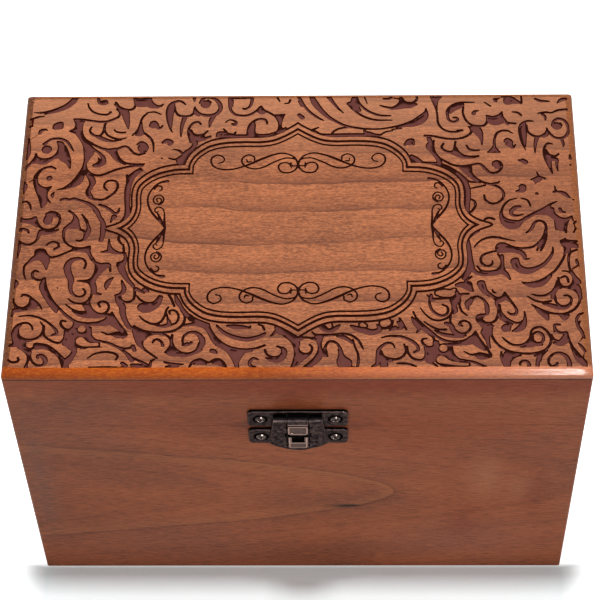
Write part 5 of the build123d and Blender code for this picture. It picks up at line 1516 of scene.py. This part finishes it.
# %% Vines
def panel_corner(side, end, centre=(-0.2, 0.45), turn=frame_turn):
    """The vines in one quarter of the panel, measured from its middle."""

    def vine(*numbers):
        moved = []
        for x, y, width in triples(numbers):
            moved += [centre[0] + side * x - turn * end * y, centre[1] + end * (y + 0.1) + turn * side * x, width]
        cut(*moved)

    # drawn for the quarter at the front right
    vine(25.4,-25.6,.45,24.2,-26,.4,23.7,-27.2,.4,24.6,-28.4,.45,26.2,-28.8,.5,27.8,-27.6,.55,27.8,-25.4,.55,
        26.2,-23.6,.5,23,-22.9,.5,19.6,-23.4,.5,16,-24.8,.65,12,-26.9,.8,8,-28.7,.6,4.6,-29.3,.5,1.6,-28,.5,
        .2,-25.6,.6,-.1,-23.4,.5)
    vine(.4,-26.4,.4,2,-27.2,.45,4.6,-27.2,.45,8,-25.6,.5,11,-23.8,.5,13.8,-23.1,.5,16.4,-23.8,.5,18,-25.6,.5,
        17.8,-27.6,.45,16,-28.8,.45,14.2,-28,.45,14,-26.6,.45)
    vine(15.2,-26.2,.4,16.2,-25.9,.5,16.6,-27,.3)
    vine(.2,-25.8,.55,.2,-24,.5,1.2,-22.3,.5,3,-21.4,.5,5.2,-21.7,.5,6.3,-23.4,.5,5.8,-25,.5,4.2,-25.5,.45,2.8,-25,.5,
        2.3,-24.2,.7)
    vine(.4,-24.3,.3,1.4,-24.1,.35,2.4,-24.4,.4)
    vine(2.2,-23.4,.3,2.3,-25.4,.4)
    # vine at the end of the panel
    vine(41.8,.3,.4,43,-2,.8,45,-4.4,.7,46.7,-7,.65,47.7,-10,.55,47.6,-13,.5,46.2,-16,.5,44,-18,.6,42,-18.5,1,
        41.6,-18.5,.9)
    vine(41.8,0,.4,42.2,-3,.6,42.3,-6,.35,43,-7.7,.4,44.4,-8.3,.4,45.4,-7.3,.4,45,-6.2,.35,44.2,-6.6,.3)
    vine(43,-2.6,.6,44,-4.8,.7,44.6,-6,.3)
    vine(44.6,-10.4,.4,45,-11.4,.4,44.2,-11.9,.4,43.4,-11,.4,43.9,-9.8,.4,45.2,-9.7,.4,46,-11,.4,45.4,-12.6,.4,
        43.9,-13,.4,42.8,-11.8,.4,42.9,-10.2,.4,44.2,-9.1,.35)
    vine(44.2,-14.6,.35,43.4,-15.2,.4,43.6,-16.4,.45,44.8,-16.7,.5,45.8,-15.4,.4)


towards = RIGHT, BACK
for side in (1, -1):
    for end in (1, -1):
        panel_corner(side, end)

# the carving stops just short of the board's edges
carved_x, carved_y = (-87.2, 87.1), (-51.55, 52.1)
gx, gy = np.meshgrid(field_x, field_y)
margin = np.minimum(
    np.minimum(gx - carved_x[0], carved_x[1] - gx), np.minimum(gy - carved_y[0], carved_y[1] - gy)
)
field = np.maximum(field, -margin)
print("panel drawn")

# %% [markdown]
# ## From the drawing to a solid top
#
# The edge of every cut is a level line of the field. Three lines are taken:
# the top of the cut's wall, its foot, and the end of the scorched band along
# it. They become the edges of a triangulation of the whole top, so every wall
# is crisp without a huge grid. Loops too small for a tool to cut are filled
# first.

# %% Level lines
wall_top, wall_foot, scorch_end = 0.06, -0.08, -0.38
segments_of_cell = {
    1: ((0, 3),), 2: ((1, 0),), 3: ((1, 3),), 4: ((2, 1),), 5: ((0, 3), (2, 1)), 6: ((2, 0),), 7: ((2, 3),),
    8: ((3, 2),), 9: ((0, 2),), 10: ((1, 0), (3, 2)), 11: ((1, 2),), 12: ((3, 1),), 13: ((0, 1),), 14: ((3, 0),),
}  # fmt: skip


def level_loops(level):
    """Closed loops where the field crosses a level, with the higher side on the left."""
    high = field > level
    code = high[:-1, :-1] + 2 * high[:-1, 1:] + 4 * high[1:, 1:] + 8 * high[1:, :-1]
    following = {}
    columns = len(field_x)
    for kind, pairs in segments_of_cell.items():
        i, j = np.nonzero(code == kind)
        base = (i * columns + j) * 2
        # an edge is named by its lower left grid point, doubled, plus one when it stands upright
        edges = (base, base + 3, base + 2 * columns, base + 1)
        for start, end in pairs:
            following.update(zip(edges[start].tolist(), edges[end].tolist()))
    loops = []
    while following:
        first, current = following.popitem()
        chain = [first]
        while current != first:
            chain.append(current)
            current = following.pop(current)
        names = np.array(chain)
        upright, cell = names % 2, names // 2
        i, j = cell // columns, cell % columns
        near, far = field[i, j], field[i + upright, j + 1 - upright]
        part = (level - near) / (far - near)
        x = field_x[0] + grid_step * (j + part * (1 - upright))
        y = field_y[0] + grid_step * (i + part * upright)
        loops.append(np.stack([x, y], 1))
    return loops


def loop_area(loop):
    """The area inside a loop, negative when it runs clockwise, as round a pit."""
    x, y = loop[:, 0], loop[:, 1]
    return 0.5 * float(x @ np.roll(y, -1) - y @ np.roll(x, -1))


def fill_specks(smallest_wood, smallest_pit, panel_reach=(50, 27), new_depth=0.3):
    """Removes islands of wood and pits that are too small, and tells how many.

    An island up to several times the smallest goes too where it is only a sliver, its field nowhere high. More
    such islands stay on the panel, within panel_reach of the middle, where the vines leave slivers on purpose.
    """
    filled = 0
    for loop in level_loops(wall_top):
        area = loop_area(loop)
        on_panel = abs(loop[:, 0].mean()) < panel_reach[0] and abs(loop[:, 1].mean()) < panel_reach[1]
        most_times, sliver_height = (6, 0.4) if on_panel else (10, 0.5)
        if area > most_times * smallest_wood or area < -smallest_pit:
            continue
        window, gx, gy = grid_window(loop.min(0) - 2 * grid_step, loop.max(0) + 2 * grid_step)
        inside = inside_loop(loop, gx, gy)
        wide = inside.copy()
        for _ in range(2):
            wide[1:] |= wide[:-1]
            wide[:-1] |= wide[1:]
            wide[:, 1:] |= wide[:, :-1]
            wide[:, :-1] |= wide[:, 1:]
        patch = field[window]
        if area > smallest_wood and patch[inside].max() > sliver_height:
            continue
        if area > 0:
            touched = wide & (inside | (patch <= wall_top))
            patch[touched] = np.minimum(patch[touched], -new_depth)
        else:
            touched = wide & (inside | (patch > wall_foot))
            patch[touched] = np.maximum(patch[touched], new_depth)
        filled += 1
    return filled


def thinned(loop, tolerance=0.022, longest=1.6):
    """Drops the points of a loop that lie on the straight line between their neighbours, unless those are far apart."""
    for _ in range(3):
        count = len(loop)
        if count < 9:
            break
        before, after = np.roll(loop, 1, 0), np.roll(loop, -1, 0)
        run = after - before
        length = np.hypot(run[:, 0], run[:, 1])
        step = loop - before
        off = np.abs(run[:, 0] * step[:, 1] - run[:, 1] * step[:, 0]) / np.maximum(length, 1e-9)
        drop = (off < tolerance) & (length < longest)
        drop[1::2] = False
        loop = loop[~drop]
        loop = np.roll(loop, -1, 0)
    return loop


print("filled", fill_specks(smallest_wood=0.5, smallest_pit=0.15), "specks")
cut_levels = (wall_top, wall_foot, scorch_end)
levels = [[thinned(loop) for loop in level_loops(level) if len(loop) > 5] for level in cut_levels]
print("points on level lines", [sum(len(loop) for loop in loops) for loops in levels])

# %% [markdown]
# The top's edges are rounded over. Each ring below is the board's outline,
# drawn in by some distance, at the height that the rounding has there. The
# same rule gives the height of any point of the surface.

# %% The carved top
edge_radius, corner_radius, cut_depth = 2.5, 0.8, 0.45
corner_growth = 0.6


def ring_gap(x, y, inset):
    """How far outside the ring of a given inset a point lies."""
    radius = corner_radius + corner_growth * inset
    qx = np.abs(x) - (half_length - inset - radius)
    qy = np.abs(y) - (half_depth - inset - radius)
    return np.hypot(np.maximum(qx, 0), np.maximum(qy, 0)) + np.minimum(np.maximum(qx, qy), 0) - radius


def board_height(x, y):
    """The height of the uncut surface."""
    inset = np.minimum(half_length - np.abs(x), half_depth - np.abs(y))
    for _ in range(4):
        inset = np.clip(inset - ring_gap(x, y, inset), 0, edge_radius)
    return top_height - edge_radius + np.sqrt(edge_radius**2 - (edge_radius - inset) ** 2)


def ring(inset, corner_steps=6, piece_length=3):
    """The outline drawn in by an inset, counter-clockwise."""
    radius = corner_radius + corner_growth * inset
    points = []
    for quarter, (sx, sy) in enumerate(((1, 1), (-1, 1), (-1, -1), (1, -1))):
        middle_x, middle_y = sx * (half_length - inset - radius), sy * (half_depth - inset - radius)
        for k in range(corner_steps + 1):
            angle = math.radians(90 * (quarter + k / corner_steps))
            points.append((middle_x + radius * math.cos(angle), middle_y + radius * math.sin(angle)))
    dense = []
    for (x0, y0), (x1, y1) in zip(points, points[1:] + points[:1]):
        pieces = max(1, round(math.hypot(x1 - x0, y1 - y0) / piece_length))
        dense += [(x0 + (x1 - x0) * k / pieces, y0 + (y1 - y0) * k / pieces) for k in range(pieces)]
    return np.array(dense)


def field_at(x, y):
    """The field between grid points."""
    column = np.clip((x - field_x[0]) / grid_step, 0, len(field_x) - 1.001)
    row = np.clip((y - field_y[0]) / grid_step, 0, len(field_y) - 1.001)
    j, i = column.astype(int), row.astype(int)
    u, v = column - j, row - i
    near_row = field[i, j] * (1 - u) * (1 - v) + field[i, j + 1] * u * (1 - v)
    return near_row + field[i + 1, j] * (1 - u) * v + field[i + 1, j + 1] * u * v


ring_insets = (0.0, 0.12, 0.35, 0.7, 1.15, 1.7, 2.5)
loops, loop_level = [], []
for level, group in zip(cut_levels, levels):
    loops += group
    loop_level += [level] * len(group)
for inset in ring_insets:
    loops.append(ring(inset))
    loop_level.append(None)
outer_count = len(ring(ring_insets[0]))
points, edges, known = [], [], []
outer_start = sum(len(loop) for loop in loops[: len(loops) - len(ring_insets)])
for loop, level in zip(loops, loop_level):
    base, count = len(points), len(loop)
    points += [Vector(p) for p in loop.tolist()]
    edges += [(base + k, base + (k + 1) % count) for k in range(count)]
    known += [level] * count
flat, _, triangles, sources, _, _ = delaunay_2d_cdt(points, edges, [], 0, 1e-7, True)
xy = np.array([(p.x, p.y) for p in flat])
here = field_at(xy[:, 0], xy[:, 1])
for k, source in enumerate(sources):
    named = [known[s] for s in source if known[s] is not None]
    if named:
        here[k] = max(named)
share_cut = np.clip((wall_top - here) / (wall_top - wall_foot), 0, 1)
z = board_height(xy[:, 0], xy[:, 1]) - cut_depth * share_cut
triangles = np.array(triangles)
print("triangles on the top", len(triangles))

output_of = {s: k for k, source in enumerate(sources) for s in source}
rim = [output_of[outer_start + k] for k in range(outer_count)]
count = len(xy)
low_rim = np.column_stack([xy[rim], np.full(len(rim), underside)])
vertices = np.vstack([np.column_stack([xy, z]), low_rim]) * MM
side = []
for k in range(len(rim)):
    a, b, low_a, low_b = rim[k], rim[(k + 1) % len(rim)], count + k, count + (k + 1) % len(rim)
    side.append((low_a, low_b, b, a))
bottom = tuple(reversed(range(count, count + len(rim))))
a, b, c = (xy[triangles[:, k]] for k in range(3))
turned = (b[:, 0] - a[:, 0]) * (c[:, 1] - a[:, 1]) - (b[:, 1] - a[:, 1]) * (c[:, 0] - a[:, 0]) < 0
triangles[turned] = triangles[turned][:, ::-1]
carved_mesh = bpy.data.meshes.new("carved_top")
carved_mesh.from_pydata(vertices.tolist(), [], triangles.tolist() + side + [bottom])
centre_field = here[triangles].mean(1)
centre = xy[triangles].mean(1)
inset_here = np.minimum(half_length - np.abs(centre[:, 0]), half_depth - np.abs(centre[:, 1]))
plain, wall, ground, rounded_edge = range(4)
in_wall = np.where(centre_field > wall_foot + 1e-4, wall, ground)
kind = np.where(centre_field >= wall_top - 1e-4, plain, in_wall)
kind = np.where((kind == plain) & (inset_here < edge_radius), rounded_edge, kind)
kind = np.concatenate([kind, np.full(len(side), rounded_edge), [plain]])
print("faces by kind", np.bincount(kind))

# %% Finishes of the carved top
burnt_finish, tree, shader = new_material("burnt_wall", Roughness=0.9, Specular_IOR_Level=0.0)
place = add(tree, "ShaderNodeTexCoord")
soot_and_shade = noise(tree, scaled(tree, place.outputs["Object"], (900, 900, 900)), 3.0)
tree.links.new(mixed(tree, soot_and_shade, colour(46, 10, 2), colour(74, 24, 8)), shader.inputs["Base Color"])
ground_finish, tree, shader = new_material("cut_ground", Roughness=0.9, Specular_IOR_Level=0.03)
place = add(tree, "ShaderNodeTexCoord")
mottle = noise(tree, scaled(tree, place.outputs["Object"], (700, 700, 700)), 4.0, 0.7)
scorch = add(tree, "ShaderNodeAttribute", attribute_name="scorch").outputs["Fac"]
raw = mixed(tree, mottle, colour(84, 43, 39), colour(112, 65, 59))
scorched = mixed(tree, ramp(tree, scorch, (0.1, 0.0), (0.7, 1.0)), raw, colour(44, 14, 8))
tree.links.new(scorched, shader.inputs["Base Color"])
edge_shades = colour(206, 96, 22), colour(158, 64, 12), colour(122, 44, 10)
edge_finish, tree, wood, shader = board_finish(
    "edge_board", (12, 20), 0.02, 2.9, 7.0, 0.4, 0.5, edge_shades, sheen=0.15, shine=0.03
)
shader.inputs["Coat Roughness"].default_value = 0.12
texture = add(tree, "ShaderNodeTexCoord").outputs["Object"]
along = add(tree, "ShaderNodeSeparateXYZ", {0: texture})
level = along.outputs["Z"]
# each sum below turns a stretch of the top into 0 to 1: 123 to 125 mm up, 50 to 60 mm in front of the middle,
# 80 to 90 mm to its left, and 100 mm to its left to 100 mm to its right
seam = ramp(tree, math_node(tree, "MULTIPLY_ADD", level, 500, -61.5), (0.25, 0.0), (0.4, 0.0), (0.58, 1.0))
front_edge = ramp(tree, math_node(tree, "MULTIPLY_ADD", along.outputs["Y"], -100, -5.0), (0.05, 0.0), (0.15, 1.0))
left_edge = ramp(tree, math_node(tree, "MULTIPLY_ADD", along.outputs["X"], -100, -8.0), (0.55, 0.0), (0.65, 1.0))
plain_edge = mixed(tree, left_edge, colour(132, 80, 52), colour(84, 52, 40))
from_left = math_node(tree, "MULTIPLY_ADD", along.outputs["X"], 5.0, 0.5)
# the front edge darkens towards its left end, and towards its right end it is mixed into a pale pink, a painted
# highlight
front_wood = mixed(tree, ramp(tree, from_left, (0.05, 0.62), (0.5, 0.0)), wood.outputs["Color"], colour(112, 34, 4))
front_wood = mixed(tree, ramp(tree, from_left, (0.45, 0.0), (0.85, 0.65)), front_wood, colour(220, 150, 122))
edge_colour = mixed(tree, front_edge, plain_edge, front_wood)
in_mm = scaled(tree, texture, TO_MM)
edge_colour = speckled(tree, in_mm, edge_colour, colour(232, 134, 40), colour(120, 42, 4), 0.45)
tree.links.new(mixed(tree, seam, colour(36, 12, 6), edge_colour), shader.inputs["Base Color"])
for material in (top_board, burnt_finish, ground_finish, edge_finish):
    carved_mesh.materials.append(material)
carved_mesh.polygons.foreach_set("material_index", kind.astype(np.int32))
scorch_values = np.concatenate([np.clip((here - scorch_end) / (wall_foot - scorch_end), 0, 1), np.zeros(len(rim))])
carved_mesh.attributes.new("scorch", "FLOAT", "POINT").data.foreach_set("value", scorch_values.astype(np.float32))
carved_mesh.validate()
carved_mesh.set_sharp_from_angle(angle=math.radians(35))
carved_top = new_object("carved_top", carved_mesh)
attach(carved_top, "lid")
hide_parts("lid_top")
print("carved top:", len(carved_mesh.vertices), "vertices")

# %% [markdown]
# ## The table and the light
#
# One large soft lamp hangs above and a little behind the box, as in a light
# tent. A tall strip to the front right is only there for the shine on the lid's
# edge. The floor is nearly white and also glows for the rays that look at it,
# straight from the camera, mirrored or through glass. It glows least in the
# strip just in front of the box, so that it goes pure white except there,
# where the box's own shadow falls. The tent round the box does the same: it
# looks white, but lights the box less than that.

# %% Stage
def ground_seen(tree):
    """1 for the rays that show the white ground itself: straight, mirrored or through glass."""
    ray = add(tree, "ShaderNodeLightPath")
    mirrored = math_node(tree, "MAXIMUM", ray.outputs["Is Glossy Ray"], ray.outputs["Is Transmission Ray"])
    return math_node(tree, "MAXIMUM", ray.outputs["Is Camera Ray"], mirrored)


reach, floor_level = 3.0, -0.0002
floor_corners = [(x * reach, y * reach, floor_level) for x, y in ((-1, -1), (1, -1), (1, 1), (-1, 1))]
floor_mesh = bpy.data.meshes.new("floor")
floor_mesh.from_pydata(floor_corners, [], [(0, 1, 2, 3)])
floor_finish, tree, shader = new_material(
    "paper", Roughness=1.0, Specular_IOR_Level=0, Base_Color=(0.85, 0.9, 0.91, 1), Emission_Color=(1, 1, 1, 1)
)
floor_place = add(tree, "ShaderNodeSeparateXYZ", {0: add(tree, "ShaderNodeTexCoord").outputs["Object"]})
# nearness is 0 at 150 mm in front of the middle and 1 at 50 mm, and aside is 0 in the middle and 1 at 200 mm
nearness = math_node(tree, "MULTIPLY_ADD", floor_place.outputs["Y"], 10.0, 1.5)
front_glow = ramp(tree, nearness, (0.5, 0.9), (0.72, 0.07), (0.955, 0.07), (0.975, 0.9))
aside = math_node(tree, "MULTIPLY", math_node(tree, "ABSOLUTE", floor_place.outputs["X"]), 5.0)
side_glow = ramp(tree, aside, (0.44, 0.0), (0.52, 0.9))
glow = math_node(tree, "MAXIMUM", front_glow, side_glow)
tree.links.new(math_node(tree, "MULTIPLY", ground_seen(tree), glow), shader.inputs["Emission Strength"])
floor_mesh.materials.append(floor_finish)
floor = new_object("floor", floor_mesh)

world = bpy.data.worlds.new("light tent")
bpy.context.scene.world = world
world.use_nodes = True
tree = world.node_tree
tree.nodes.clear()
tent = add(tree, "ShaderNodeBackground", {"Color": (1, 1, 1, 1), "Strength": 0.42})
white = add(tree, "ShaderNodeBackground", {"Color": (1, 1, 1, 1), "Strength": 1.0})
choose = add(tree, "ShaderNodeMixShader", {0: ground_seen(tree), 1: tent.outputs[0], 2: white.outputs[0]})
add(tree, "ShaderNodeOutputWorld", {0: choose.outputs[0]})


def soft_box(name, place, size, strength, aim=(0, 0, 0.1)):
    """A lamp panel that faces the box, or aim. strength is how bright the panel itself looks."""
    lamp = bpy.data.lights.new(name, "AREA")
    lamp.shape = "RECTANGLE"
    lamp.size, lamp.size_y = size
    lamp.energy = strength * size[0] * size[1] * math.pi
    panel = new_object(name, lamp)
    panel.location = place
    panel.rotation_euler = (Vector(aim) - panel.location).to_track_quat("-Z", "Y").to_euler()
    panel.visible_camera = False
    return panel


overhead = soft_box("overhead panel", (0.0, 0.015, 1.3), (0.12, 0.08), 380)
overhead.visible_glossy = False
strip = soft_box("edge strip", (0.15, -0.4, 0.45), (0.045, 0.9), 110.0, aim=(0.15, 0, 0.1))
strip.visible_diffuse = False
bpy.context.scene.view_settings.view_transform = "Standard"
print("stage ready")
